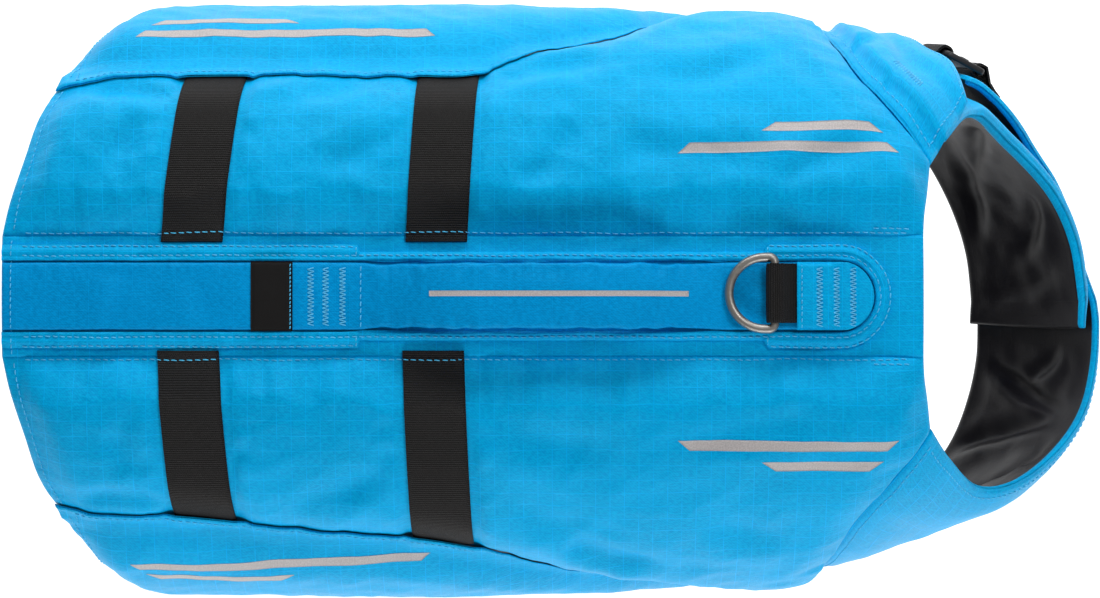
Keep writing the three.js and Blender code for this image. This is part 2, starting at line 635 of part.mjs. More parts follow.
// Flat plate of an outline, centred on its own middle plane.
function plate(outline, thickness) {
  const geometry = new THREE.ExtrudeGeometry(outline, { depth: thickness, bevelEnabled: false, curveSegments: 3 });
  geometry.translate(0, 0, -thickness / 2);
  return geometry;
}

// Outline of a bar with rounded corners, from x1 to x2 and half as wide as given to each side.
function barShape(x1, x2, half, round) {
  const outline = new THREE.Shape();
  outline.moveTo(x1 + round, -half);
  outline.lineTo(x2 - round, -half);
  outline.quadraticCurveTo(x2, -half, x2, -half + round);
  outline.lineTo(x2, half - round);
  outline.quadraticCurveTo(x2, half, x2 - round, half);
  outline.lineTo(x1 + round, half);
  outline.quadraticCurveTo(x1, half, x1, half - round);
  outline.lineTo(x1, -half + round);
  outline.quadraticCurveTo(x1, -half, x1 + round, -half);
  return outline;
}

function slotPath(x1, half) {
  const slot = new THREE.Path();
  slot.moveTo(x1, -half);
  slot.lineTo(x1 + SLOT.length, -half);
  slot.lineTo(x1 + SLOT.length, half);
  slot.lineTo(x1, half);
  slot.closePath();
  return slot;
}

function solidOf(geometry) {
  const bare = geometry.clone();
  bare.deleteAttribute('normal');
  bare.deleteAttribute('uv');
  const merged = mergeVertices(bare, 1e-4);
  return new wasm.Manifold(new wasm.Mesh({
    numProp: 3,
    vertProperties: merged.attributes.position.array,
    triVerts: new Uint32Array(merged.index.array),
  }));
}

function geometryOf(solid) {
  const mesh = solid.getMesh();
  return facedOut([...mesh.vertProperties], [...mesh.triVerts]);
}

// Side-release buckle, fastened. Its length is along X, with the body's mouth and the tang's shoulder near X 0.
const BAR_PITCH = SLOT.length + 2 * BAR.half;
const BODY_BAR = BUCKLE.bodyEnd + SLOT.length + BAR.half;
const TANG_BAR = BUCKLE.tangEnd - SLOT.length - BAR.half;

function buckleBody() {
  const half = BUCKLE.width / 2;
  const block = solidOf(plate(barShape(BUCKLE.mouth, BUCKLE.bodyEnd, half, 2.5), BUCKLE.thickness));
  const frame = barShape(BUCKLE.bodyEnd - 3, BUCKLE.bodyEnd + BAR_PITCH, half, 2.5);
  frame.holes.push(slotPath(BUCKLE.bodyEnd, SLOT.width / 2));
  let body = block.add(solidOf(plate(frame, BAR.thickness)));
  for (const side of [1, -1]) {
    const notch = plate(barShape(BUCKLE.mouth - 1, BUCKLE.armEnd, BUCKLE.arm + 0.5, 0.8), BUCKLE.thickness + 2);
    body = body.subtract(solidOf(notch.translate(0, side * half, 0)));
  }
  return geometryOf(body);
}

function buckleTang() {
  const half = BUCKLE.width / 2;
  const shoulder = BUCKLE.mouth - 0.4;
  let tang = solidOf(plate(barShape(BUCKLE.tangEnd, shoulder, half, 1.5), BUCKLE.thickness - 1.6));
  const frame = barShape(BUCKLE.tangEnd - 2 * BAR_PITCH, BUCKLE.tangEnd + 3, half, 2.5);
  frame.holes.push(slotPath(BUCKLE.tangEnd - SLOT.length, SLOT.width / 2));
  frame.holes.push(slotPath(BUCKLE.tangEnd - BAR_PITCH - SLOT.length, SLOT.width / 2 - 0.5));
  tang = tang.add(solidOf(plate(frame, BAR.thickness)));
  for (const side of [1, -1]) {
    const arm = plate(barShape(shoulder - 2, BUCKLE.armEnd - 0.5, BUCKLE.arm / 2, 1), BUCKLE.armThickness);
    tang = tang.add(solidOf(arm.translate(0, side * (half - BUCKLE.arm / 2), 0)));
  }
  return geometryOf(tang);
}

// Where a point near the torso lies on the form: s round the body and h above the surface.
function footOf(point, x, from, to) {
  let low = from;
  let high = to;
  const ahead = (s) => {
    const tangent = torsoPoint(x, s + 1).sub(torsoPoint(x, s - 1));
    return point.clone().sub(torsoPoint(x, s)).dot(tangent);
  };
  for (let i = 0; i < 40; i += 1) {
    const middle = (low + high) / 2;
    if (ahead(middle) > 0) low = middle;
    else high = middle;
  }
  const foot = torsoPoint(x, low);
  const outward = torsoPlace(x, low, 1).sub(foot);
  return { s: low, h: point.sub(foot).dot(outward) };
}

// Webbing that follows the body, turns back round a bar at { a, h } and lies on itself after a hold past the bar.
function hairpin(start, bar, hold, tail) {
  const radius = BAR.wrap + WEBBING / 2;
  const reach = bar.a - start;
  const path = steps(9).slice(0, -1).map((f) => {
    const along = f * (reach - 1.5);
    const lift = rise(along, reach - hold - 22, reach - hold);
    return { a: start + along, h: BELLY_STRAP_H + (bar.h - radius - BELLY_STRAP_H) * lift };
  });
  for (const f of steps(8)) {
    const angle = Math.PI * (f - 0.5);
    path.push({ a: bar.a + radius * Math.cos(angle), h: bar.h + radius * Math.sin(angle) });
  }
  const lying = BELLY_STRAP_H + WEBBING + 1.2;
  for (const f of steps(7).slice(1)) {
    const along = 3 + f * (tail - 3);
    const drop = rise(along, hold, hold + 26);
    path.push({ a: bar.a - along, h: bar.h + radius + (lying - bar.h - radius) * drop });
  }
  return path;
}

function buildBelly({ name, x, sewnX }) {
  const girth = footOf(new THREE.Vector3(x, 0, -400), x, 330, 430).s;
  const centre = torsoPlace(x, girth, BUCKLE_LIFT).setY(0);
  const outward = torsoPlace(x, girth, 1).sub(torsoPoint(x, girth)).setY(0).normalize();
  const along = new THREE.Vector3(0, 1, 0);
  const frame = new THREE.Matrix4().makeBasis(along, outward.clone().cross(along), outward).setPosition(centre);
  add(`buckle_${name}_body`, buckleBody().applyMatrix4(frame), plastic);
  add(`buckle_${name}_tang`, buckleTang().applyMatrix4(frame), plastic);
  const ends = [
    { side: 1, word: 'left', bar: BODY_BAR, hold: 4, tail: BELLY_TAIL.fixed },
    { side: -1, word: 'right', bar: -TANG_BAR, hold: BAR_PITCH + 4, tail: BELLY_TAIL.adjusting },
  ];
  for (const { side, word, bar, hold, tail } of ends) {
    const foot = footOf(new THREE.Vector3(x, bar, centre.z), x, girth - 60, girth);
    const path = hairpin(HEM_S + 0.5, { a: foot.s, h: foot.h }, hold, tail);
    const place = (s, across, h) => {
      const past = foot.s - s;
      const flat = new THREE.Vector3(side * (bar + past), across, h - foot.h).applyMatrix4(frame);
      const slant = (sewnX - x) * (1 - rise(s, HEM_S, foot.s - 20));
      return flat.lerp(torsoPlace(x + across + slant, side * s, h), rise(past, hold + 1, hold + 16));
    };
    add(`strap_belly_${name}_${word}`, ribbon(path, WEBBING_WIDTH / 2 - 0.5, WEBBING, place), webbing);
  }
}

// Collar: the inner tongue from the left shoulder, the outer band from the right, and the left shoulder flap.
function tongueHeight(t, w) {
  const foam = (1 - rise(t, TONGUE.thinFrom, TONGUE.thinTo)) * rise(t, TONGUE.end, 0.1);
  const body = TONGUE.thin + (TONGUE.full - TONGUE.thin) * foam;
  const rimShare = Math.max(1 - puff(w, 0.16), 1 - puff(1 - w, 0.16));
  return body - Math.max(0, body - TONGUE.rim) * rimShare;
}

// The tongue lies inside the band: how far below the collar form its inner face is.
function tongueInset(t) {
  return INSET.depth * (1 - rise(t, INSET.from, INSET.to));
}

function tongueTop(t, w) {
  return tongueHeight(t, w) - tongueInset(t);
}

function buildTongue() {
  const ts = [TONGUE.end, -0.045, 0, 0.05, 0.1, 0.16, 0.22, 0.28, 0.34, 0.4, 0.46, 0.52, 0.58, 0.64, 0.7, 0.76, 0.83, TONGUE.root];
  const ws = [0, 0.07, 0.18, 0.34, 0.5, 0.66, 0.82, 0.93, 0.985];
  const place = (u, v, face) => collarPlace(ts[u], ws[v], face ? tongueTop(ts[u], ws[v]) : -tongueInset(ts[u]));
  add('collar_tongue', wall(ts.map((_, i) => i), ws.map((_, i) => i), place), shell);
}

function bandInner(t, w) {
  if (t < TONGUE.end) return Math.max(0, tongueTop(TONGUE.end, w) + UNDER_BAND) * rise(t, -0.2, TONGUE.end);
  return Math.max(0, tongueTop(t, w) + UNDER_BAND) + STAND_OFF.height * rise(t, STAND_OFF.from, STAND_OFF.to);
}

function bandHeight(t, w) {
  const right = 1 - rise(t, -0.2, 0);
  const seam = puff((t + 1) * COLLAR_RING, 16);
  const puffed = puff(w, 0.2) * puff(1 - w, 0.2) * seam;
  return bandInner(t, w) + BAND.edge + puffed * (BAND.overFoam + (BAND.foam - BAND.overFoam) * right);
}

function buildBand() {
  const ts = [BAND.start, -0.97, -0.92, -0.86, -0.79, -0.72, -0.65, -0.58, -0.51, -0.44, -0.37, -0.3, -0.24, -0.2, -0.16, -0.13,
    -0.1, -0.05, 0, 0.06, 0.12, 0.19, 0.26, 0.33, 0.4, 0.47, 0.53, 0.58, 0.62, BAND.end];
  const spread = [0, 0.06, 0.16, 0.32, 0.5, 0.68, 0.84, 0.94, 1];
  const place = (u, v, face) => {
    const t = ts[u];
    const end = rise(t, 0.5, BAND.end) * 0.09;
    const from = BAND.overEdge * rise(t, -0.06, 0.14) + end;
    const to = 1 - end * 1.2;
    const w = from + spread[v] * (to - from);
    return collarPlace(t, w, face ? bandHeight(t, w) : bandInner(t, w));
  };
  add('collar_band', wall(ts.map((_, i) => i), spread.map((_, i) => i), place), shell);
}

function flapInner(t) {
  const lifted = (TONGUE.thin + UNDER_FLAP) * (1 - rise(t, FLAP.liftTo, FLAP.liftFrom));
  return lifted + (WEBBING + UNDER_FLAP + 0.5) * (1 - rise(t, FLAP.slotTo, FLAP.slotFrom));
}

function buildFlap() {
  const shares = [0, 0.1, 0.22, 0.3, 0.38, 0.5, 0.64, 0.78, 0.9, 1];
  const ws = [0, 0.05, 0.12, 0.25, 0.42, 0.6, 0.78, 0.9, 1];
  const place = (u, v, face) => {
    const w = ws[v];
    const end = FLAP.end + 0.03 * (1 - puff(w, 0.14)) + 0.06 * (1 - puff(1 - w, 0.3));
    const t = FLAP.start - shares[u] * (FLAP.start - end);
    const foam = FLAP.foam * puff((1 - t) * COLLAR_RING, 14) * rise(t, 0.8, 0.93) * puff(w, 0.15) * puff(1 - w, 0.15);
    return collarPlace(t, w, flapInner(t) + face * (FLAP.cloth + foam));
  };
  add('collar_flap', wall(shares.map((_, i) => i), ws.map((_, i) => i), place), shell);
}

// Neck closure: webbing from under the flap turns round a bar of the ladder lock, and a webbing loop holds the
// lock's other bar to the band's end. Places are { a, across, h } from the lock's middle: a towards the flap.
const LOCK_BAR = LOCK.length / 2 - BAR.half;
const LOCK_HEIGHT = bandHeight(LOCK.t, LOCK.w) + LOCK.lift;

function besideLock(a, across, h) {
  const ahead = collarPoint(LOCK.t + 0.05, LOCK.w);
  const behind = collarPoint(LOCK.t - 0.05, LOCK.w);
  const perTurn = ahead.distanceTo(behind) / 0.1;
  const t = LOCK.t + a / perTurn;
  const ruling = collarPoint(t, 0.25).distanceTo(collarPoint(t, 0.75)) * 2;
  return collarPlace(t, LOCK.w + across / ruling, h);
}

function lockFrame() {
  const centre = besideLock(0, 0, LOCK_HEIGHT);
  const outward = besideLock(0, 0, LOCK_HEIGHT + 5).sub(centre).normalize();
  const down = besideLock(0, 5, LOCK_HEIGHT).sub(besideLock(0, -5, LOCK_HEIGHT));
  const along = outward.clone().cross(down).normalize();
  const up = outward.clone().cross(along);
  return new THREE.Matrix4().makeBasis(along, up, outward).setPosition(centre);
}

function buildLock(frame) {
  const half = LOCK.width / 2;
  const end = LOCK.length / 2;
  const outline = barShape(-end, end, half, 2.2);
  outline.holes.push(slotPath(end - 2 * BAR.half - SLOT.length, SLOT.width / 2));
  outline.holes.push(slotPath(-end + 2 * BAR.half, SLOT.width / 2 - 0.5));
  add('ladder_lock', plate(outline, BAR.thickness).applyMatrix4(frame), plastic);
}

function buildNeckWebbing(frame) {
  const radius = BAR.wrap + WEBBING / 2;
  const place = (a, across, h) => {
    const flat = new THREE.Vector3(a, -across, h - LOCK_HEIGHT).applyMatrix4(frame);
    const bent = besideLock(a, across, h);
    return flat.lerp(bent, rise(Math.abs(a), LOCK_BAR + radius + 0.9, LOCK_BAR + radius + 7));
  };
  const turn = (sign) => steps(8).map((f) => ({
    a: sign * (LOCK_BAR - radius * Math.sin(Math.PI * f)),
    h: LOCK_HEIGHT - radius * Math.cos(Math.PI * f),
  }));
  const low = LOCK_HEIGHT - radius;
  const inner = { a: (NECK_STRAP_START - LOCK.t) * COLLAR_RING, h: TONGUE.thin + UNDER_FLAP + WEBBING / 2 };
  const edge = { a: (FLAP.end - LOCK.t) * COLLAR_RING, h: inner.h + 0.3 };
  const strap = [
    inner, edge,
    { a: edge.a - 2.5, h: edge.h + 0.5 * (low - edge.h) },
    { a: LOCK_BAR + 2, h: low },
    ...turn(1),
    { a: LOCK_BAR + 2, h: low + 2 * radius },
    { a: LOCK_BAR + 5, h: low + radius + 1.6 },
    { a: edge.a - 1, h: edge.h + WEBBING + 1.4 },
  ];
  add('strap_neck', ribbon(strap, WEBBING_WIDTH / 2, WEBBING, place), webbing);

  const start = (NECK_TAB_START - LOCK.t) * COLLAR_RING;
  const sewn = steps(4).map((f) => {
    const a = start + f * (-LOCK_BAR - 5 - start);
    return { a, h: bandHeight(LOCK.t + a / COLLAR_RING, LOCK.w) + UNDER_TAB + WEBBING / 2 };
  });
  const tab = [
    ...sewn,
    { a: -LOCK_BAR - 2, h: low },
    ...turn(-1),
    { a: -LOCK_BAR - 2, h: low + 2 * radius },
    ...sewn.slice(0, -1).reverse().map(({ a, h }) => ({ a, h: h + WEBBING + 0.6 })),
  ];
  add('strap_neck_tab', ribbon(tab, WEBBING_WIDTH / 2, WEBBING, place), webbing);
}

buildSpine();
buildBackPanel(1, 'back_panel_left');
buildBackPanel(-1, 'back_panel_right');
buildFlankPanel(1, 'flank_panel_left');
buildFlankPanel(-1, 'flank_panel_right');
BACK_STRAPS.forEach(buildBackStrap);
buildHandle();
buildPiping();
buildLabel();
buildRingTab();
buildCover();
buildRing();
BELLY_STRAPS.forEach(buildBelly);
buildTongue();
buildBand();
buildFlap();
buildLock(lockFrame());
buildNeckWebbing(lockFrame());

export default jacket;
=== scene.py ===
"""Dog life jacket: its looks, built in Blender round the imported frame.

Sizes in the tables are millimetres in the part's own frame: +X towards the wearer's head, +Y to the wearer's left
and +Z up, with the origin on the lining over the spine. Meshes are made in metres.
"""

import logging
import math
from collections.abc import Callable, Sequence
from dataclasses import dataclass, field
from enum import Enum

import bmesh
import bpy
import numpy as np
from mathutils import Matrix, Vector
from mathutils.bvhtree import BVHTree


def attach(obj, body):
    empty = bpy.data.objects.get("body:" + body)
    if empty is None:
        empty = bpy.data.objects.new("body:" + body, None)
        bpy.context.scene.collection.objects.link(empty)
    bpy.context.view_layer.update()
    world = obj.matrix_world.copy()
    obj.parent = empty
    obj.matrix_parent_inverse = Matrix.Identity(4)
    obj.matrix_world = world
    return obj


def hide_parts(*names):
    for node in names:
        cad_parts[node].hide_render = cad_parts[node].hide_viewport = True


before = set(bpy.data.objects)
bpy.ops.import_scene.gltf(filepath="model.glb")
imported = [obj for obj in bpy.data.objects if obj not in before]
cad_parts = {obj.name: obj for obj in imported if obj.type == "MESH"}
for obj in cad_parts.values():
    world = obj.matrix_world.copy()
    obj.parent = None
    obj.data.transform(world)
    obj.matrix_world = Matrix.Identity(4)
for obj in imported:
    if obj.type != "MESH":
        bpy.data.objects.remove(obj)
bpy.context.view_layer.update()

Array = np.ndarray
Piece = bpy.types.Object
Socket = bpy.types.NodeSocket
Spot = tuple[float, float]
Sockets = dict[str, Socket]

MM = 0.001
JACKET = "jacket"
log = logging.getLogger("life_jacket")


def clamp(value: Array, low: float = 0.0, high: float = 1.0) -> Array:
    """Value held between two limits."""
    return np.minimum(high, np.maximum(low, value))


def rise(value: Array, start: float, end: float) -> Array:
    """Smooth step from 0 at start to 1 at end."""
    f = clamp((np.asarray(value, float) - start) / (end - start))
    return f * f * (3 - 2 * f)


def puff(distance: Array, ramp: float) -> Array:
    """Quarter-sine rise of padded cloth away from a seam."""
    return np.sin(clamp(distance / ramp) * math.pi / 2)


def slab(distance: Array, ramp: Array, corner: float = 0.16) -> Array:
    """Straight rise away from a seam to the edge of a foam slab, with a rounded corner there.

    Args:
        distance: how far each point is from the seam.
        ramp: how far the slab's edge is from the seam.
        corner: how round the corner is, as a share of the rise.

    Returns:
        Share of the slab's full height, from 0 to 1.
    """
    f = np.maximum(0, distance) / ramp
    k = clamp(0.5 + 0.5 * (1 - f) / corner)
    return k * f + (1 - k) - corner * k * (1 - k)


def column(keys: Array, values: Array, at: Array) -> Array:
    """Smooth value of a table's column where its key column has the value asked for.

    Args:
        keys: rising key values, a row each.
        values: the column's values.
        at: key values asked for.

    Returns:
        Values in the shape of at.
    """
    last = len(keys) - 1
    i = np.clip(np.searchsorted(keys[1:-1], at, side="left"), 0, last - 1)
    before = np.maximum(np.arange(last + 1) - 1, 0)
    after = np.minimum(np.arange(last + 1) + 1, last)
    slopes = (values[after] - values[before]) / (keys[after] - keys[before])
    span = keys[i + 1] - keys[i]
    f = (at - keys[i]) / span
    g, h = f * f, f**3
    return (
        (2 * h - 3 * g + 1) * values[i]
        + (h - 2 * g + f) * span * slopes[i]
        + (3 * g - 2 * h) * values[i + 1]
        + (h - g) * span * slopes[i + 1]
    )


class Edge:
    """Smooth cut line through rows of form coordinates, read at shares of its length."""

    def __init__(self, rows: Sequence[Spot], corner: int | None = None) -> None:
        """Keeps the rows; corner is a row where the line may turn sharply."""
        self.rows = np.array(rows, float)
        steps = np.hypot(*np.diff(self.rows, axis=0).T)
        self.length = float(steps.sum())
        self.at = np.concatenate([[0], np.cumsum(steps)]) / self.length
        self.corner = corner

    def _read(self, share: Array, rows: slice) -> Array:
        """Points of one smooth stretch of the line."""
        at, part = self.at[rows], self.rows[rows]
        return np.stack([column(at, part[:, k], share) for k in (0, 1)], -1)

    def __call__(self, share: Array) -> Array:
        """Points at shares of the length, with a last axis of 2."""
        share = np.asarray(share, float)
        if self.corner is None:
            return self._read(share, slice(None))
        first = self._read(share, slice(0, self.corner + 1))
        second = self._read(share, slice(self.corner, None))
        return np.where((share <= self.at[self.corner])[..., None], first, second)

    def line(self, count: int = 90) -> Array:
        """The edge as a chain of points."""
        return self(np.linspace(0, 1, count))


def line_distance(line: Array, x: Array, s: Array) -> Array:
    """Distance from points of a form to a chain of points on it."""
    best = np.full(np.shape(x), np.inf)
    for a, b in zip(line[:-1], line[1:]):
        d = b - a
        share = clamp(((x - a[0]) * d[0] + (s - a[1]) * d[1]) / max(d @ d, 1e-9))
        best = np.minimum(best, np.hypot(x - a[0] - share * d[0], s - a[1] - share * d[1]))
    return best


def shifted(line: Array, distance: float) -> Array:
    """A chain of points moved sideways, to the left of its direction."""
    d = unit(np.gradient(line, axis=0))
    return line + distance * np.stack([-d[:, 1], d[:, 0]], -1)


def walk(chain: Array) -> Array:
    """Distance walked along a chain of points, at each of them."""
    return np.concatenate([[0], np.cumsum(np.linalg.norm(np.diff(chain, axis=0), axis=1))])


def unit(vectors: Array) -> Array:
    """Vectors of length 1 in the same directions."""
    return vectors / np.linalg.norm(vectors, axis=-1, keepdims=True)


RIM = (0.0, 0.3, 0.7, 1.2, 1.8, 2.6, 3.6)


def spaced(length: float, pitch: float, rim: Sequence[float] = RIM) -> Array:
    """Shares of a length: fine steps at both ends and even ones between."""
    ends = np.array(rim)
    count = max(2, round((length - 2 * ends[-1]) / pitch))
    middle = np.linspace(ends[-1], length - ends[-1], count + 1)[1:-1]
    return np.concatenate([ends, middle, length - ends[::-1]]) / length


def turned(distance: Array, radius: float) -> Array:
    """How far a face drops towards its rim, where the cloth turns over with a round edge."""
    f = clamp(1 - distance / radius)
    return radius * (1 - np.sqrt(np.maximum(0, 1 - f * f)))


class Noise:
    """Seeded gradient noise over a plane, about -1 to 1."""

    SIZE = 128

    def __init__(self, seed: int) -> None:
        """Draws the gradients."""
        angle = np.random.default_rng(seed).uniform(0, 2 * math.pi, (self.SIZE, self.SIZE))
        self.gx, self.gy = np.cos(angle), np.sin(angle)

    def __call__(self, x: Array, y: Array) -> Array:
        """Noise values at points."""
        x, y = np.broadcast_arrays(np.asarray(x, float), np.asarray(y, float))
        i, j = np.floor(x).astype(int), np.floor(y).astype(int)
        fx, fy = x - i, y - j
        wx = fx**3 * (fx * (6 * fx - 15) + 10)
        wy = fy**3 * (fy * (6 * fy - 15) + 10)

        def corner(a: int, b: int) -> Array:
            """Share of one corner of the noise's square."""
            m, n = (i + a) % self.SIZE, (j + b) % self.SIZE
            return self.gx[m, n] * (fx - a) + self.gy[m, n] * (fy - b)

        low = corner(0, 0) * (1 - wx) + corner(1, 0) * wx
        high = corner(0, 1) * (1 - wx) + corner(1, 1) * wx
        return 1.45 * (low * (1 - wy) + high * wy)


class Form:
    """Surface sampled on an even grid of two coordinates, with its outward normals."""

    def __init__(self, us: Array, vs: Array, points: Array) -> None:
        """Keeps the grid; points has the shape of us by vs by 3."""
        self.start = np.array([us[0], vs[0]])
        self.step = np.array([us[1] - us[0], vs[1] - vs[0]])
        self.points = points
        self.normals = unit(np.cross(np.gradient(points, axis=0), np.gradient(points, axis=1)))

    def _read(self, grid: Array, u: Array, v: Array) -> Array:
        """Grid values between its samples."""
        a = np.clip((u - self.start[0]) / self.step[0], 0, grid.shape[0] - 1.001)
        b = np.clip((v - self.start[1]) / self.step[1], 0, grid.shape[1] - 1.001)
        i, j = a.astype(int), b.astype(int)
        fa, fb = (a - i)[..., None], (b - j)[..., None]
        low = grid[i, j] * (1 - fa) + grid[i + 1, j] * fa
        high = grid[i, j + 1] * (1 - fa) + grid[i + 1, j + 1] * fa
        return low * (1 - fb) + high * fb

    def place(self, u: Array, v: Array, height: Array = 0.0) -> Array:
        """Points at a height above the form."""
        u, v, height = np.broadcast_arrays(*(np.asarray(k, float) for k in (u, v, height)))
        return self._read(self.points, u, v) + self.normal(u, v) * height[..., None]

    def normal(self, u: Array, v: Array) -> Array:
        """Unit normals of the form."""
        found = self._read(self.normals, np.asarray(u, float), np.asarray(v, float))
        return unit(found)


class TorsoForm(Form):
    """Inner face of the jacket's body: x along it, s the distance round it from the spine."""

    SECTIONS = np.array(
        [  # x, half width, top, bottom
            (-193, 110, -3, -206),
            (-146, 116.5, -1, -220),
            (-75, 118, 0, -231),
            (0, 118.5, 0, -237),
            (60, 117.5, 0, -240),
            (101, 116, 0, -240),
            (150, 113.5, 0, -238),
            (202, 106, -1, -232),
        ],
        float,
    )
    WIDEST_Z = -110.0
    SQUARENESS = 2.3

    def __init__(self) -> None:
        """Walks round each section to find its points by distance from the spine."""
        xs, ss = np.arange(-204, 214.1, 1.5), np.arange(0, 405.1, 1.5)
        half, top, bottom = (column(self.SECTIONS[:, 0], self.SECTIONS[:, k], xs) for k in (1, 2, 3))
        angle = np.linspace(0, 1.3 * math.pi, 937)
        sine, cosine = np.sin(angle), np.cos(angle)
        power = self.SQUARENESS
        reach = (np.abs(sine) ** power + np.abs(cosine) ** power) ** (-1 / power)
        rows = []
        for x, h, t, b in zip(xs, half, top, bottom):
            y = h * reach * sine
            z = self.WIDEST_Z + np.where(cosine >= 0, t - self.WIDEST_Z, self.WIDEST_Z - b) * reach * cosine
            walked = np.concatenate([[0], np.cumsum(np.hypot(np.diff(y), np.diff(z)))])
            rows.append(np.stack([np.full_like(ss, x), np.interp(ss, walked, y), np.interp(ss, walked, z)], -1))
        right = np.array(rows)
        left = right[:, :0:-1] * (1, -1, 1)
        super().__init__(xs, np.arange(-ss[-1], ss[-1] + 0.1, 1.5), np.concatenate([left, right], axis=1))

    def foot(self, point: Array, x: float, low: float, high: float) -> tuple[float, float]:
        """Distance round the form and height above it of a point near its underside."""
        s = np.arange(low, high, 0.25)
        on_form = self.place(np.full_like(s, x), s)
        k = int(np.argmin(np.linalg.norm(on_form - point, axis=1)))
        normal = self.normal(np.array(x), np.array(s[k]))
        return float(s[k]), float((point - on_form[k]) @ normal)


SHOULDER_EDGE = (
    (193.5, 25), (194, 34), (195.5, 44), (197, 57), (180, 79), (165, 103), (154, 143), (150, 172), (150, 190),
)  # fmt: skip
SHOULDER_CORNER = 3


class CollarForm(Form):
    """Inner face of the collar: t round the neck between the shoulders, w from the neck edge to the chest edge."""

    SECTIONS = np.array(
        [  # t, neck x y z, chest x y z, bulge, left half's neck edge drawn back
            (0, 279, 0, -105, 230, 0, -150, 2.5, 0),
            (0.15, 277.5, 28, -103, 229, 22, -150, 3, 3),
            (0.3, 271, 50, -96, 225, 42, -149, 4, 6.5),
            (0.45, 257, 67, -84, 217, 62, -147, 5, 8),
            (0.6, 238, 79, -66, 204, 80, -142, 7.5, 6),
            (0.74, 221, 80, -49, 187, 97, -133, 10, 2),
            (0.87, 207, 68, -22, 169, 110, -120, 15, 0),
            (1, 197, 55, -4, 150, 119, -106, 18.6, 0),
        ],
        float,
    )
    JOIN = 0.45
    RING = 165.0

    def __init__(self, torso: TorsoForm) -> None:
        """Samples the rulings, blended to lie on the torso along the shoulder seams."""
        ts, ws = np.arange(-1.02, 1.0201, 0.005), np.arange(-0.04, 1.0401, 0.01)
        seam = Edge(SHOULDER_EDGE[SHOULDER_CORNER:])(ws)
        on_torso = torso.place(seam[:, 0], seam[:, 1])
        shift = on_torso - self._ruling(np.array(1.0), ws)
        points = []
        for t in ts:
            row = self._ruling(np.array(t), ws) + shift * rise(abs(t), self.JOIN, 1)
            points.append(row * (1, -1 if t < 0 else 1, 1))
        super().__init__(ts, ws, np.array(points))
        self.normals = -self.normals
        self.ts = ts
        self.rulings = np.linalg.norm(np.diff(self.points[:, 4:-3], axis=1), axis=2).sum(1)

    def ruling(self, t: Array) -> Array:
        """Length of the collar from its neck edge to its chest edge."""
        return np.interp(t, self.ts, self.rulings)

    def _ruling(self, t: Array, w: Array) -> Array:
        """One ruling of the collar, before it is blended to the torso."""
        at = abs(float(t))
        read = [float(column(self.SECTIONS[:, 0], self.SECTIONS[:, k], np.array(at))) for k in range(1, 9)]
        back = read[7] if t > 0 else 0
        neck = np.array(read[0:3]) - (back, 0, 0)
        chest = np.array(read[3:6]) - (back / 2, 0, 0)
        ends = np.array([max(0.0, at - 0.02), min(1.0, at + 0.02)])
        tangent = np.array([np.diff(column(self.SECTIONS[:, 0], self.SECTIONS[:, k], ends))[0] for k in (1, 2, 3)])
        outward = unit(np.cross(chest - neck, tangent))
        middle = (neck + chest) / 2 + outward * 2 * read[6]
        w = w[:, None]
        return neck * (1 - w) ** 2 + middle * 2 * w * (1 - w) + chest * w * w


class Look(Enum):
    """Finishes of the jacket's pieces."""

    SHELL = "shell_nylon"
    HANDLE = "handle_nylon"
    LINING = "lining_nylon"
    WEBBING = "webbing"
    LABEL = "label_tape"
    METAL = "ring_metal"
    PLASTIC = "buckle_plastic"
    THREAD = "thread"
    REFLECTIVE = "reflective_print"


@dataclass
class Mesh:
    """Points in millimetres and faces, gathered before they become a Blender object."""

    points: list[Array] = field(default_factory=list)
    faces: list[list[int]] = field(default_factory=list)
    slots: list[int] = field(default_factory=list)
    coords: list[Array] = field(default_factory=list)
    count: int = 0

    def add(self, points: Array, faces: Array, slot: int | Array = 0, coords: Array | None = None) -> None:
        """Adds points with their faces, their material slots and their place on the cloth."""
        points = np.asarray(points, float).reshape(-1, 3)
        faces = np.asarray(faces, int)
        self.points.append(points)
        self.coords.append(np.zeros((len(points), 2)) if coords is None else np.asarray(coords, float).reshape(-1, 2))
        self.faces += (faces + self.count).tolist()
        self.slots += np.broadcast_to(slot, len(faces)).tolist()
        self.count += len(points)

    def gather(self, points: Array, faces: Sequence[Sequence[int]], slot: int = 0) -> None:
        """Adds points with faces of any number of corners, all of one material slot."""
        self.points.append(points)
        self.coords.append(points[:, :2])
        self.faces += [[i + self.count for i in f] for f in faces]
        self.slots += [slot] * len(faces)
        self.count += len(points)

    def build(self, name: str, looks: Sequence[Look], smooth_angle: float | None = None) -> Piece:
        """Makes the Blender object.

        Args:
            name: the piece's name.
            looks: a finish for each material slot.
            smooth_angle: degrees over which an edge stays sharp, or None for smooth everywhere.

        Returns:
            The object, linked to the scene.
        """
        points = np.concatenate(self.points)
        data = bpy.data.meshes.new(name)
        data.from_pydata((points * MM).tolist(), [], self.faces)
        data.validate()
        layer = data.uv_layers.new(name="cloth")
        corners = np.zeros(len(data.loops), int)
        data.loops.foreach_get("vertex_index", corners)
        layer.data.foreach_set("uv", (np.concatenate(self.coords)[corners] * MM).astype(np.float32).ravel())
        for look in looks:
            data.materials.append(FINISHES[look].material())
        data.polygons.foreach_set("material_index", self.slots)
        data.polygons.foreach_set("use_smooth", [True] * len(data.polygons))
        if smooth_angle is not None:
            data.set_sharp_from_angle(angle=math.radians(smooth_angle))
        data.update()
        piece = bpy.data.objects.new(name, data)
        bpy.context.scene.collection.objects.link(piece)
        return piece


def tie(piece: Piece, node: str, body: str = JACKET) -> Piece:
    """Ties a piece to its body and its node."""
    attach(piece, body)
    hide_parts(node)
    return piece


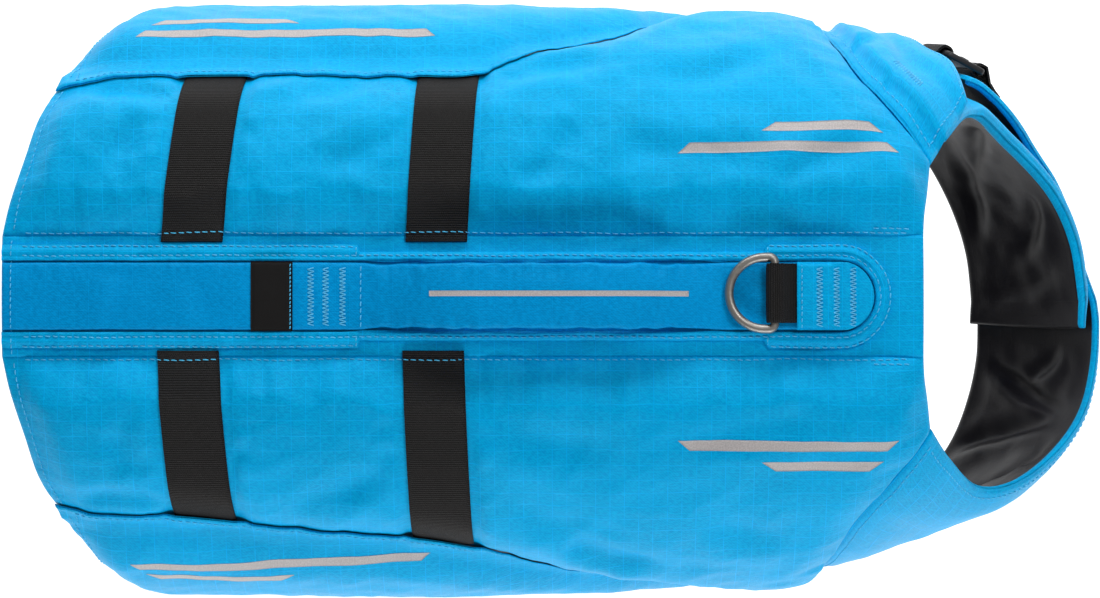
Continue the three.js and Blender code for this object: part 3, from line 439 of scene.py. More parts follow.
def cloth(mesh: Mesh, node: str, fill: float, looks: Sequence[Look] = (Look.SHELL, Look.LINING)) -> Piece:
    """Makes a padded piece of cloth in place of a node."""
    piece = tie(mesh.build(f"{node}_cloth", looks), node)
    return piece


def webbing(mesh: Mesh, node: str, width: float, length: float) -> Piece:
    """Makes a piece of webbing in place of a node.

    Args:
        mesh: its shape.
        node: the node it stands for.
        width: its width, not used.
        length: its flat length, not used.

    Returns:
        The piece.
    """
    piece = tie(mesh.build(f"{node}_webbing", [Look.WEBBING]), node)
    return piece


def quads(grid: Array) -> Array:
    """Four-cornered faces over a grid of point numbers."""
    corners = [grid[:-1, :-1], grid[1:, :-1], grid[1:, 1:], grid[:-1, 1:]]
    return np.stack(corners, -1).reshape(-1, 4)


def faced_out(points: Array, faces: Array) -> Array:
    """Faces turned to point out of the closed shape."""
    a, b, c, d = (points[faces[:, k]] for k in range(4))
    middle = points.mean(0)
    normal = np.cross(c - a, d - b)
    volume = (((a + b + c + d) / 4 - middle) * normal).sum()
    return faces if volume > 0 else faces[:, ::-1]


def wall(mesh: Mesh, outer: Array, inner: Array, coords: Array, slots: tuple[int, int] = (0, 1),
         bound: Array | bool = False, rims: Sequence[int] = (0, 0, 0, 0)) -> None:
    """Adds a closed wall between two grids of points.

    Args:
        mesh: where it goes.
        outer: grid of the outer face.
        inner: grid of the inner face.
        coords: grid of places on the cloth.
        slots: material slots of the outer face with its rim, and of the inner face.
        bound: True for the inner faces that the outer cloth is turned over.
        rims: material slots of the narrow faces at the first and last rows and columns.
    """
    n, m = outer.shape[:2]
    top = np.arange(n * m).reshape(n, m)
    low = top + n * m
    sides = [
        np.stack([top[0], low[0]]), np.stack([low[-1], top[-1]]),
        np.stack([low[:, 0], top[:, 0]]), np.stack([top[:, -1], low[:, -1]]),
    ]  # fmt: skip
    faces = [quads(top), quads(low)[:, ::-1]] + [quads(r) for r in sides]
    inside = np.where(np.broadcast_to(bound, (n - 1, m - 1)).ravel(), slots[0], slots[1])
    slot = np.concatenate([
        np.full(len(faces[0]), slots[0]), inside, *(np.full(len(f), r) for f, r in zip(faces[2:], rims)),
    ])  # fmt: skip
    points = np.concatenate([outer.reshape(-1, 3), inner.reshape(-1, 3)])
    everything = faced_out(points, np.concatenate(faces))
    mesh.add(points, everything, slot, np.concatenate([coords.reshape(-1, 2)] * 2))


def tube(mesh: Mesh, path: Array, across: Array, up: Array, radius: Array, closed: bool = False,
         sides: int = 6) -> None:
    """Adds round tubes along chains of points.

    Args:
        mesh: where they go.
        path: chains by points by 3.
        across: sideways directions, like path.
        up: upward directions, like path.
        radius: radius at each point of a chain.
        closed: True for rings.
        sides: corners of the round section.
    """
    chains, k = path.shape[:2]
    angle = np.arange(sides) * 2 * math.pi / sides
    ring = (
        across[:, :, None] * np.cos(angle)[:, None] + up[:, :, None] * np.sin(angle)[:, None]
    ) * np.broadcast_to(radius, (k,))[None, :, None, None]
    points = path[:, :, None] + ring
    grid = np.arange(k * sides).reshape(k, sides)
    grid = np.concatenate([grid, grid[:, :1]], axis=1)
    if closed:
        grid = np.concatenate([grid, grid[:1]], axis=0)
    faces = quads(grid)[:, ::-1].tolist()
    if not closed:
        faces += [list(range(sides)), [(k - 1) * sides + i for i in reversed(range(sides))]]
    for block in points.reshape(chains, k * sides, 3):
        mesh.gather(block, faces)


class Thread:
    """Stitches gathered into one mesh, each a short round strand that dips into the cloth at its ends."""

    STATIONS = np.array([0.0, 0.16, 0.5, 0.84, 1.0])
    LIFT = np.array([-0.3, 0.1, 0.2, 0.1, -0.3])
    RADIUS = np.array([0.12, 0.24, 0.27, 0.24, 0.12])
    SLANT = 0.12

    def __init__(self, seed: int) -> None:
        """Starts an empty mesh with its own random draws."""
        self.mesh = Mesh()
        self.rng = np.random.default_rng(seed)
        self.sway = Noise(seed)

    def strands(self, starts: Array, ends: Array, normals: Array) -> None:
        """Adds straight strands between pairs of points."""
        along = ends - starts
        across = unit(np.cross(normals, along))
        path = starts[:, None] + along[:, None] * self.STATIONS[:, None]
        path = path + normals[:, None] * self.LIFT[:, None]
        spread = np.ones((1, len(self.STATIONS), 1))
        tube(self.mesh, path, across[:, None] * spread, normals[:, None] * spread, self.RADIUS, sides=5)

    def run(self, path: Array, normals: Array, pitch: float = 3.2, gap: float = 0.7) -> None:
        """Adds a line of running stitches.

        Args:
            path: the line's points.
            normals: outward directions at them.
            pitch: length of a stitch and the gap after it.
            gap: length of the gap.
        """
        walked = walk(path)
        count = max(1, int(walked[-1] / pitch))
        starts = np.linspace(0, walked[-1], count, endpoint=False)
        starts = starts + self.rng.uniform(-self.SLANT, self.SLANT, count)
        ends = np.minimum(starts + walked[-1] / count - gap, walked[-1])

        def read(values: Array, at: Array) -> Array:
            """Values along the line."""
            return np.stack([np.interp(at, walked, values[:, k]) for k in range(3)], -1)

        normal = unit(read(normals, (starts + ends) / 2))
        a, b = read(path, starts), read(path, ends)
        slant = unit(np.cross(normal, b - a)) * self.SLANT
        self.strands(a + slant, b - slant, normal)

    def zigzag(self, place: Callable[[Array, Array], Array], normal: Callable[[Array, Array], Array],
               start: Spot, end: Spot, width: float, pitch: float) -> None:
        """Adds a zigzag bar tack between two places.

        Args:
            place: gives points on the cloth.
            normal: gives outward directions there.
            start: one end of the tack.
            end: the other end.
            width: how wide it swings.
            pitch: length of one swing there and back.
        """
        a, b = np.array(start, float), np.array(end, float)
        length = float(np.hypot(*(b - a)))
        along = (b - a) / length
        side = np.array([-along[1], along[0]])
        count = 2 * int(length / pitch) + 1
        f = np.linspace(0, length, count)
        swing = np.where(np.arange(count) % 2, 0.5, -0.5) * width * self.rng.uniform(0.9, 1.08, count)
        spots = a + along * f[:, None] + side * swing[:, None]
        points = place(spots[:, 0], spots[:, 1])
        normals = normal(spots[:, 0], spots[:, 1])
        self.strands(points[:-1], points[1:], normals[:-1])

    def build(self, name: str) -> Piece:
        """Makes the stitches' piece, which rides on the jacket."""
        piece = self.mesh.build(name, [Look.THREAD])
        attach(piece, JACKET)
        return piece


def ribbon(mesh: Mesh, chain: Array, up: Array, width: float, thickness: float, columns: int = 13) -> float:
    """Adds a flat woven strip with thinner edges, level from side to side.

    Args:
        mesh: where it goes.
        chain: points of its middle line.
        up: outward directions at them.
        width: width of the strip.
        thickness: thickness at its middle.
        columns: points across it.

    Returns:
        The strip's length.
    """
    f = np.linspace(-1, 1, columns)
    middle = chain[:, None] + (0, 1, 0) * (f * width / 2)[:, None]
    half = thickness / 2 * (0.55 + 0.45 * np.sqrt(np.maximum(0, 1 - np.abs(f) ** 8)))
    walked = walk(chain)
    coords = np.stack(np.meshgrid(walked, np.linspace(0, width, columns), indexing="ij"), -1)
    up = up[:, None] * half[:, None]
    wall(mesh, middle + up, middle - up, coords, (0, 0))
    return float(walked[-1])


class Nodes:
    """Short way to add nodes to a tree and link them."""

    def __init__(self, tree: bpy.types.NodeTree) -> None:
        """Keeps the tree."""
        self.tree = tree

    def add(self, kind: str, *values: object, **settings: object) -> bpy.types.Node:
        """Adds a node.

        Args:
            kind: the node's type.
            values: what its inputs hold in order, a socket to link, a plain value, or None to leave it.
            settings: the node's own properties.

        Returns:
            The node.
        """
        node = self.tree.nodes.new(kind)
        for key, value in settings.items():
            setattr(node, key, value)
        for socket, value in zip(node.inputs, values):
            self.put(socket, value)
        return node

    def put(self, socket: Socket, value: object) -> None:
        """Links a socket or sets its value."""
        if isinstance(value, Socket):
            self.tree.links.new(value, socket)
        elif value is not None:
            socket.default_value = value

    def math(self, operation: str, *values: object) -> Socket:
        """Result of a math node."""
        return self.add("ShaderNodeMath", *values, operation=operation).outputs[0]

    def band(self, value: object, low: float, high: float, first: float, last: float) -> Socket:
        """Smooth step of a value from first at low to last at high."""
        node = self.add("ShaderNodeMapRange", value, low, high, first, last, interpolation_type="SMOOTHSTEP")
        return node.outputs[0]

    def noise(self, vector: object, scale: object, detail: float = 2.0, distortion: float = 0.0) -> Socket:
        """Noise between 0 and 1."""
        node = self.add("ShaderNodeTexNoise")
        for name, value in (("Vector", vector), ("Scale", scale), ("Detail", detail), ("Distortion", distortion)):
            self.put(node.inputs[name], value)
        return node.outputs["Fac"]

    def mix(self, factor: object, a: object, b: object) -> Socket:
        """Mix of two colours."""
        node = self.add("ShaderNodeMix", data_type="RGBA")
        for index, value in ((0, factor), (6, a), (7, b)):
            self.put(node.inputs[index], value)
        return node.outputs[2]

    def stretched(self, vector: object, *scale: float) -> Socket:
        """A vector scaled on each axis."""
        return self.add("ShaderNodeVectorMath", vector, scale, operation="MULTIPLY").outputs[0]


class Effect:
    """Shader node group used by several finishes, built once."""

    made: dict[str, bpy.types.NodeTree] = {}

    def __init__(self, name: str, inputs: dict[str, float | None], outputs: Sequence[str],
                 fill: Callable[["Nodes", Sockets], Sockets]) -> None:
        """Describes the group.

        Args:
            name: the group's name.
            inputs: default values by name, None for a vector.
            outputs: names of the values it gives.
            fill: makes its nodes and returns its outputs' sockets.
        """
        self.name, self.inputs, self.outputs, self.fill = name, inputs, outputs, fill

    def tree(self) -> bpy.types.NodeTree:
        """The group's tree, made on first use."""
        if self.name in self.made:
            return self.made[self.name]
        tree = bpy.data.node_groups.new(self.name, "ShaderNodeTree")
        for name, value in self.inputs.items():
            kind = "NodeSocketVector" if value is None else "NodeSocketFloat"
            socket = tree.interface.new_socket(name, in_out="INPUT", socket_type=kind)
            if value is not None:
                socket.default_value = value
        for name in self.outputs:
            tree.interface.new_socket(name, in_out="OUTPUT", socket_type="NodeSocketFloat")
        nodes = Nodes(tree)
        start, end = tree.nodes.new("NodeGroupInput"), tree.nodes.new("NodeGroupOutput")
        made = self.fill(nodes, {name: start.outputs[name] for name in self.inputs})
        for name in self.outputs:
            nodes.put(end.inputs[name], made[name])
        self.made[self.name] = tree
        return tree

    def use(self, nodes: Nodes, **values: object) -> Sockets:
        """Places the group in a material.

        Args:
            nodes: the material's nodes.
            values: inputs by name.

        Returns:
            Its outputs by name.
        """
        node = nodes.add("ShaderNodeGroup", node_tree=self.tree())
        for name, value in values.items():
            nodes.put(node.inputs[name], value)
        return {name: node.outputs[name] for name in self.outputs}


def fill_ripstop(n: Nodes, given: Sockets) -> Sockets:
    """Nodes of ripstop cloth: thicker threads in squares over a fine plain weave."""
    split = n.add("ShaderNodeSeparateXYZ", given["Cloth"])
    lines = []
    for axis, other in ((0, 1), (1, 0)):
        at = n.math("DIVIDE", split.outputs[axis], given["Square"])
        near = n.math("PINGPONG", at, 0.5)
        line = n.band(near, 0.012, 0.05, 1, 0)
        along = n.stretched(given["Cloth"], *((900, 120, 0) if other else (120, 900, 0)))
        lines.append(n.math("MULTIPLY", line, n.band(n.noise(along, 1.0, 3), 0.32, 0.62, 0.25, 1)))
    line = n.math("MAXIMUM", *lines)
    waves = [n.math("SINE", n.math("DIVIDE", split.outputs[k], given["Weave"])) for k in (0, 1)]
    weave = n.math("MULTIPLY", *waves)
    twill = n.math("SINE", n.math("DIVIDE", n.math("ADD", split.outputs[0], split.outputs[1]), given["Twill"]))
    thread = n.noise(n.stretched(given["Cloth"], 500, 1500, 0), 1.0, 2)
    slub = n.math("ADD", thread, n.math("MULTIPLY", twill, 0.07))
    height = n.math("ADD", n.math("MULTIPLY", weave, 0.45), n.math("MULTIPLY", line, 0.8))
    return {"Line": line, "Height": n.math("ADD", height, n.math("MULTIPLY", slub, 0.6)), "Slub": slub}


def fill_crumple(n: Nodes, given: Sockets) -> Sockets:
    """Nodes of the small soft creases of thin cloth."""
    scale = given["Scale"]
    broad = n.noise(given["Vector"], scale, 3, 0.6)
    ridge = n.math("ABSOLUTE", n.math("SUBTRACT", broad, 0.5))
    fine = n.noise(given["Vector"], n.math("MULTIPLY", scale, 3.1), 2, 0.3)
    height = n.math("ADD", n.math("MULTIPLY", ridge, -1.3), n.math("MULTIPLY", fine, 0.3))
    return {"Height": height, "Shade": n.noise(given["Vector"], n.math("MULTIPLY", scale, 0.6), 2)}


def fill_webbing(n: Nodes, given: Sockets) -> Sockets:
    """Nodes of woven tape: ribs across it, split into small floats by the warp."""
    split = n.add("ShaderNodeSeparateXYZ", given["Cloth"])
    along = n.math("DIVIDE", split.outputs[0], given["Rib"])
    across = n.math("DIVIDE", split.outputs[1], given["Rib"])
    row = n.math("MULTIPLY", n.math("FLOOR", along), 0.5)
    rib = n.math("PINGPONG", along, 0.5)
    warp = n.math("PINGPONG", n.math("ADD", across, row), 0.5)
    height = n.math("ADD", n.math("MULTIPLY", rib, 1.5), n.math("MULTIPLY", warp, 0.8))
    fuzz = n.noise(n.stretched(given["Cloth"], 1, 1, 0), 1500, 2)
    return {"Height": n.math("ADD", height, n.math("MULTIPLY", fuzz, 0.25)), "Fuzz": fuzz, "Rib": rib}


def fill_scuffs(n: Nodes, given: Sockets) -> Sockets:
    """Nodes of light wear: soft patches and fine scratches."""
    patch = n.band(n.noise(given["Vector"], given["Scale"], 4), 0.45, 0.7, 0, 1)
    fine = n.noise(n.stretched(given["Vector"], 1, 7, 3), n.math("MULTIPLY", given["Scale"], 4.0), 4)
    return {"Mask": n.math("MULTIPLY", patch, n.band(fine, 0.35, 0.7, 0.2, 1)), "Fine": fine}


RIPSTOP = Effect(
    "ripstop",
    {"Cloth": None, "Square": 0.0061, "Weave": 0.00009, "Twill": 0.0002},
    ("Line", "Height", "Slub"),
    fill_ripstop,
)
CRUMPLE = Effect("crumple", {"Vector": None, "Scale": 40.0}, ("Height", "Shade"), fill_crumple)
TAPE = Effect("woven_tape", {"Cloth": None, "Rib": 0.0009}, ("Height", "Fuzz", "Rib"), fill_webbing)
SCUFFS = Effect("scuffs", {"Vector": None, "Scale": 60.0}, ("Mask", "Fine"), fill_scuffs)


@dataclass(frozen=True)
class Finish:
    """Base of the finishes: a named material whose plain numbers sit on the shader."""

    name: str
    color: tuple[float, float, float]
    roughness: float = 0.5
    specular: float = 0.5
    sheen: float = 0.0
    sheen_roughness: float = 0.4
    metallic: float = 0.0
    tint: tuple[float, float, float] = (1.0, 1.0, 1.0)

    def material(self) -> bpy.types.Material:
        """The finish's material, made on first use."""
        found = bpy.data.materials.get(self.name)
        if found is not None:
            return found
        made = bpy.data.materials.new(self.name)
        made.use_nodes = True
        made.diffuse_color = (*self.color, 1)
        shader = made.node_tree.nodes["Principled BSDF"]
        plain = {
            "Roughness": self.roughness, "Specular IOR Level": self.specular, "Metallic": self.metallic,
            "Sheen Weight": self.sheen, "Sheen Roughness": self.sheen_roughness,
        }  # fmt: skip
        for name, value in plain.items():
            shader.inputs[name].default_value = value
        shader.inputs["Specular Tint"].default_value = (*self.tint, 1)
        self.dress(Nodes(made.node_tree), shader.inputs)
        return made

    def shade(self, factor: float) -> tuple[float, float, float, float]:
        """The finish's colour, lighter or darker."""
        return (*(min(1.0, c * factor) for c in self.color), 1)

    def dress(self, nodes: Nodes, shader: bpy.types.NodeInputs) -> None:
        """Adds what varies over the surface; each finish gives its own."""
        raise NotImplementedError


def bump(nodes: Nodes, height: object, distance: float, strength: float, under: object = None) -> Socket:
    """Normal raised by a height.

    Args:
        nodes: the material's nodes.
        height: the height's socket.
        distance: real height in metres for a height of 1.
        strength: share of it that is used.
        under: another bump's normal to build on.

    Returns:
        The normal's socket.
    """
    node = nodes.add("ShaderNodeBump")
    for name, value in (("Height", height), ("Distance", distance), ("Strength", strength), ("Normal", under)):
        nodes.put(node.inputs[name], value)
    return node.outputs[0]


@dataclass(frozen=True)
class ClothFinish(Finish):
    """Coated nylon, with ripstop squares where square is set."""

    line_lift: float = 1.45
    line_share: float = 0.75
    square: float = 0.0061
    weave_depth: float = 0.00006
    crumple_depth: float = 0.0006
    crumple_scale: float = 55.0
    slub: float = 0.34

    def dress(self, nodes: Nodes, shader: bpy.types.NodeInputs) -> None:
        """Ripstop lines, slubs, small creases and soft colour change."""
        cloth = nodes.add("ShaderNodeUVMap", uv_map="cloth").outputs[0]
        place = nodes.add("ShaderNodeTexCoord").outputs["Object"]
        ripstop = RIPSTOP.use(nodes, Cloth=cloth, Square=self.square)
        crumple = CRUMPLE.use(nodes, Vector=place, Scale=self.crumple_scale)
        ground = nodes.mix(nodes.band(crumple["Shade"], 0.3, 0.7, 0, 1), self.shade(0.95), self.shade(1.05))
        slubbed = nodes.mix(nodes.band(ripstop["Slub"], 0.35, 0.65, 0, self.slub), ground, self.shade(1.9))
        line = nodes.math("MULTIPLY", ripstop["Line"], self.line_share)
        nodes.put(shader["Base Color"], nodes.mix(line, slubbed, self.shade(self.line_lift)))
        rough = nodes.band(crumple["Shade"], 0.3, 0.7, self.roughness - 0.03, self.roughness + 0.04)
        nodes.put(shader["Roughness"], rough)
        soft = bump(nodes, crumple["Height"], self.crumple_depth, 1.0)
        nodes.put(shader["Normal"], bump(nodes, ripstop["Height"], self.weave_depth, 1.0, soft))


@dataclass(frozen=True)
class TapeFinish(Finish):
    """Woven polyester tape."""

    rib: float = 0.0009
    depth: float = 0.0004

    def dress(self, nodes: Nodes, shader: bpy.types.NodeInputs) -> None:
        """Ribs with painted shade in their hollows and painted highlight on their tops, stray fibres and rubbed
        patches.
        """
        cloth = nodes.add("ShaderNodeUVMap", uv_map="cloth").outputs[0]
        place = nodes.add("ShaderNodeTexCoord").outputs["Object"]
        tape = TAPE.use(nodes, Cloth=cloth, Rib=self.rib)
        scuffs = SCUFFS.use(nodes, Vector=place, Scale=45.0)
        # painted shade and painted highlight: the colour is darkest in the rib hollows and lightest on the rib tops,
        # following the ribs' height
        ground = nodes.mix(nodes.band(tape["Rib"], 0.05, 0.4, 0, 1), self.shade(0.4), self.shade(1.6))
        worn = nodes.math("MULTIPLY", scuffs["Mask"], 0.25)
        nodes.put(shader["Base Color"], nodes.mix(worn, ground, self.shade(1.9)))
        nodes.put(shader["Roughness"], nodes.band(tape["Fuzz"], 0.3, 0.7, self.roughness - 0.05, self.roughness + 0.1))
        nodes.put(shader["Normal"], bump(nodes, tape["Height"], self.depth, 0.9))


@dataclass(frozen=True)
class HardFinish(Finish):
    """Moulded plastic or bare metal with a fine grain."""

    grain: float = 900.0
    depth: float = 0.00004
    scuff: float = 0.3
    scuff_lift: float = 1.6

    def dress(self, nodes: Nodes, shader: bpy.types.NodeInputs) -> None:
        """Grain, scuffs and a slightly uneven gloss."""
        place = nodes.add("ShaderNodeTexCoord").outputs["Object"]
        scuffs = SCUFFS.use(nodes, Vector=place, Scale=70.0)
        worn = nodes.math("MULTIPLY", scuffs["Mask"], self.scuff)
        nodes.put(shader["Base Color"], nodes.mix(worn, self.shade(1), self.shade(self.scuff_lift)))
        rough = nodes.band(scuffs["Fine"], 0.3, 0.7, self.roughness - 0.06, self.roughness + 0.08)
        nodes.put(shader["Roughness"], rough)
        nodes.put(shader["Normal"], bump(nodes, nodes.noise(place, self.grain, 3), self.depth, 1.0))


@dataclass(frozen=True)
class PrintFinish(Finish):
    """Reflective print of fine glass beads on the cloth, with the weave showing through."""

    def dress(self, nodes: Nodes, shader: bpy.types.NodeInputs) -> None:
        """Beads, weave and small losses."""
        cloth = nodes.add("ShaderNodeUVMap", uv_map="cloth").outputs[0]
        ripstop = RIPSTOP.use(nodes, Cloth=cloth)
        beads = nodes.noise(nodes.stretched(cloth, 1, 1, 0), 1700, 2)
        speck = nodes.mix(nodes.band(beads, 0.35, 0.65, 0, 1), self.shade(0.86), self.shade(1.08))
        line = nodes.math("MULTIPLY", ripstop["Line"], 0.35)
        nodes.put(shader["Base Color"], nodes.mix(line, speck, self.shade(0.8)))
        nodes.put(shader["Normal"], bump(nodes, ripstop["Height"], 0.00006, 1.0))


@dataclass(frozen=True)
class ThreadFinish(Finish):
    """Polyester sewing thread."""

    def dress(self, nodes: Nodes, shader: bpy.types.NodeInputs) -> None:
        """Twist and small colour changes."""
        place = nodes.add("ShaderNodeTexCoord").outputs["Object"]
        twist = nodes.noise(place, 1400, 2, 1.0)
        shade = nodes.band(twist, 0.3, 0.7, 0, 1)
        nodes.put(shader["Base Color"], nodes.mix(shade, self.shade(0.85), self.shade(1.12)))
        nodes.put(shader["Normal"], bump(nodes, twist, 0.00005, 1.0))


FINISHES: dict[Look, Finish] = {
    Look.SHELL: ClothFinish("ripstop_nylon", (0.0004, 0.34, 0.74), 0.44, 0.2, tint=(0.2, 0.9, 0.95)),
    Look.HANDLE: ClothFinish(
        "handle_nylon", (0.0003, 0.255, 0.62), 0.4, 0.2, tint=(0.12, 0.9, 0.95), line_share=0.2, crumple_depth=0.0008,
    ),
    Look.LINING: ClothFinish(
        "lining_nylon", (0.009, 0.0085, 0.012), 0.4, 0.3,
        line_share=0.0, weave_depth=0.00003, crumple_depth=0.00025, crumple_scale=40.0, slub=0.04,
    ),
    Look.WEBBING: TapeFinish("belt_webbing", (0.0098, 0.0092, 0.0092), 0.6, 0.2),
    Look.LABEL: TapeFinish("label_tape", (0.006, 0.0055, 0.0055), 0.55, 0.15, rib=0.0004, depth=0.00008),
    Look.METAL: HardFinish("brushed_steel", (0.35, 0.33, 0.305), 0.46, 0.5, metallic=1.0, scuff=0.4, scuff_lift=0.7),
    Look.PLASTIC: HardFinish("moulded_acetal", (0.022, 0.022, 0.023), 0.4, 0.35, depth=0.00007),
    Look.THREAD: ThreadFinish("polyester_thread", (0.1, 0.56, 0.9), 0.5, 0.15),
    Look.REFLECTIVE: PrintFinish("reflective_print", (0.5, 0.47, 0.47), 0.45, 0.4),
}  # fmt: skip


class Side(Enum):
    """The wearer's left and right."""

    LEFT = 1
    RIGHT = -1

    @property
    def word(self) -> str:
        """The side in piece names."""
        return self.name.lower()


@dataclass(frozen=True)
class Crease:
    """Soft fold from one place on a form to another, a trough with a roll beside it."""

    x1: float
    s1: float
    x2: float
    s2: float
    depth: float
    width: float
    bow: float = 0.0
    roll: float = 0.55

    def relief(self, x: Array, s: Array) -> Array:
        """How much the fold raises or lowers the cloth at places of the form."""
        dx, ds = self.x2 - self.x1, self.s2 - self.s1
        length = math.hypot(dx, ds)
        along = ((x - self.x1) * dx + (s - self.s1) * ds) / length**2
        inside = clamp(along)
        off = ((s - self.s1) * dx - (x - self.x1) * ds) / length - self.bow * 4 * inside * (1 - inside)
        off = np.hypot(off, (along - inside) * length * 0.8) * np.where(off < 0, -1, 1)
        ends = np.sqrt(rise(inside, 0, 0.35) * (1 - rise(inside, 0.65, 1)) + 0.02)
        trough = np.exp(-((off / self.width) ** 2))
        ridge = np.exp(-(((off - 1.7 * self.width) / (1.3 * self.width)) ** 2))
        return 1.25 * self.depth * ends * (self.roll * ridge - trough)


@dataclass(frozen=True)
class BackStrap:
    """Webbing over the back, from the spine seam to under the flank panel's lap."""

    side: Side
    end: str
    spine_x: float
    seam_x: float

    WIDTH = 26.0
    THICKNESS = 1.6
    START = 22.6

    def centre(self, s: Array, last: float) -> Array:
        """Where the strap's middle line is along the body, at distances from the spine."""
        return self.spine_x + (self.seam_x - self.spine_x) * (s - self.START) / (last - self.START)


BACK_STRAPS = (
    BackStrap(Side.LEFT, "rear", -115.5, -107.0),
    BackStrap(Side.LEFT, "front", -12.3, -7.7),
    BackStrap(Side.RIGHT, "rear", -117.0, -111.4),
    BackStrap(Side.RIGHT, "front", -13.6, -10.0),
)

SIDE_SEAM = np.array(
    [  # x, left, right
        (-173.5, 101, 101), (-119, 104, 103), (-66, 104, 111), (-19, 104, 116), (6, 105, 123), (21, 114, 130),
        (46, 125, 144), (72, 141, 158), (99, 170, 173), (128, 190, 190), (150, 190, 190),
    ],
    float,
)  # fmt: skip
SPINE_SEAM = 25.0
SPINE_THICKNESS = 3.0
TAIL_X, NAPE_X = -196.0, 193.5
HEM_S = 262.0
LAP = 8.0


@dataclass
class TorsoPanel:
    """What the back and flank panels share: a patch of the torso form between four cut edges."""

    torso: TorsoForm
    side: Side
    creases: Sequence[Crease] = ()
    seed: int = 11

    PITCH = 1.6

    def __post_init__(self) -> None:
        """Makes the noise and the cut edges."""
        self.noise = Noise(self.seed + self.side.value)
        self.edges = self.cut()
        self.lines = {name: edge.line() for name, edge in self.edges.items()}

    def cut(self) -> dict[str, Edge]:
        """The inner, outer, rear and front edges; each panel gives its own."""
        raise NotImplementedError

    def rim(self, x: Array, s: Array) -> Array:
        """Distance to the nearest cut edge."""
        return np.min([line_distance(line, x, s) for line in self.lines.values()], axis=0)

    def make(self, node: str, x: Array, s: Array, outer: Array, inner: Array) -> Piece:
        """Makes the panel.

        Args:
            node: the first words of the node it stands for.
            x: grid of places along the body.
            s: grid of distances from the spine.
            outer: heights of the outer face.
            inner: heights of the lining.

        Returns:
            The panel.
        """
        mesh = Mesh()
        wall(mesh, self.place(x, s, outer), self.place(x, s, inner), np.stack([x, self.side.value * s], -1))
        return cloth(mesh, f"{node}_{self.side.word}", 0.7)

    @property
    def seam_column(self) -> int:
        """Column of this side in the table of the side seam."""
        return 1 if self.side is Side.LEFT else 2

    def seam_s(self, x: Array) -> Array:
        """Distance of the side seam from the spine."""
        return column(SIDE_SEAM[:, 0], SIDE_SEAM[:, self.seam_column], clamp(x, -180, 150))

    def place(self, x: Array, s: Array, height: Array) -> Array:
        """Points over this side of the torso."""
        return self.torso.place(x, self.side.value * np.asarray(s, float), height)

    def normal(self, x: Array, s: Array) -> Array:
        """Outward directions on this side of the torso."""
        return self.torso.normal(x, self.side.value * np.asarray(s, float))

    def last_s(self, strap: BackStrap) -> float:
        """Where a back strap ends, under the flank panel's lap."""
        return float(self.seam_s(np.array(strap.seam_x))) - LAP + 3

    def under_strap(self, x: Array, s: Array, margin: float = 0.9, fade: float = 6.0) -> Array:
        """1 under a back strap of this side, down to 0 beside it."""
        mask = np.zeros(np.shape(x))
        for strap in BACK_STRAPS:
            if strap.side is self.side:
                last = self.last_s(strap)
                off = np.abs(x - strap.centre(s, last)) - strap.WIDTH / 2
                ends = rise(s, strap.START - 2, strap.START) * (1 - rise(s, last + 1, last + 6))
                mask = np.maximum(mask, (1 - rise(off, margin, margin + fade)) * ends)
        return mask

    def patch(self) -> tuple[Array, Array]:
        """Grids of x and s between the four cut edges, fine at their rims."""
        edges = self.edges
        u = spaced((edges["inner"].length + edges["outer"].length) / 2, self.PITCH)
        v = spaced((edges["rear"].length + edges["front"].length) / 2, self.PITCH)
        low, high = edges["inner"](u)[:, None], edges["outer"](u)[:, None]
        left, right = edges["rear"](v)[None], edges["front"](v)[None]
        a, b = u[:, None, None], v[None, :, None]
        corners = (1 - b) * ((1 - a) * low[:1] + a * low[-1:]) + b * ((1 - a) * high[:1] + a * high[-1:])
        grid = (1 - b) * low + b * high + (1 - a) * left + a * right - corners
        return grid[..., 0], grid[..., 1]

    def crumple(self, x: Array, s: Array, noise: Noise) -> Array:
        """Broad uneven swells of the foam and the loose cloth over it, within about 1 mm."""
        warp = 8 * noise(x / 60 + 3, s / 45)
        swell = noise((x + warp) / 46, (s - warp) / 30)
        ridge = 0.4 - np.abs(noise((x - warp) / 34 + 40, (s + warp) / 19 + 9))
        cross = 0.4 - np.abs(noise((x + s) / 21 + 11, (x - s + 2 * warp) / 44 + 31))
        small = noise(x / 13 + 70, s / 9 + 20)
        return 0.7 * swell + 1.0 * ridge + 0.8 * cross + 0.2 * small

    def relief(self, x: Array, s: Array) -> Array:
        """Sum of the panel's own creases."""
        return sum((c.relief(x, s) for c in self.creases), np.zeros(np.shape(x)))


CREASES_LEFT = (
    Crease(12, 92, 62, 100, 2.8, 6, 3), Crease(-168, 88, -118, 80, 2.2, 5, 3), Crease(60, 58, 128, 50, 1.8, 7, 3),
    Crease(-60, 50, -30, 62, 1.6, 6), Crease(-90, 70, -40, 88, 1.6, 7, 4), Crease(20, 44, 50, 70, 1.4, 6, -3),
    Crease(130, 44, 176, 60, 1.6, 6, 3), Crease(-150, 46, -132, 74, 1.5, 6, 3), Crease(74, 92, 130, 104, 2.0, 7, -4),
)  # fmt: skip
CREASES_RIGHT = (
    Crease(40, 104, 88, 122, 2.6, 6, 3), Crease(-75, 86, -30, 66, 1.8, 7, 3), Crease(-166, 84, -128, 86, 2.0, 5, -3),
    Crease(14, 52, 66, 60, 1.5, 7, 3), Crease(92, 60, 150, 50, 1.6, 7, -3), Crease(-150, 50, -134, 72, 1.4, 6, 3),
    Crease(100, 92, 140, 104, 1.8, 7, 4), Crease(20, 84, 52, 96, 1.6, 6, 3),
)  # fmt: skip


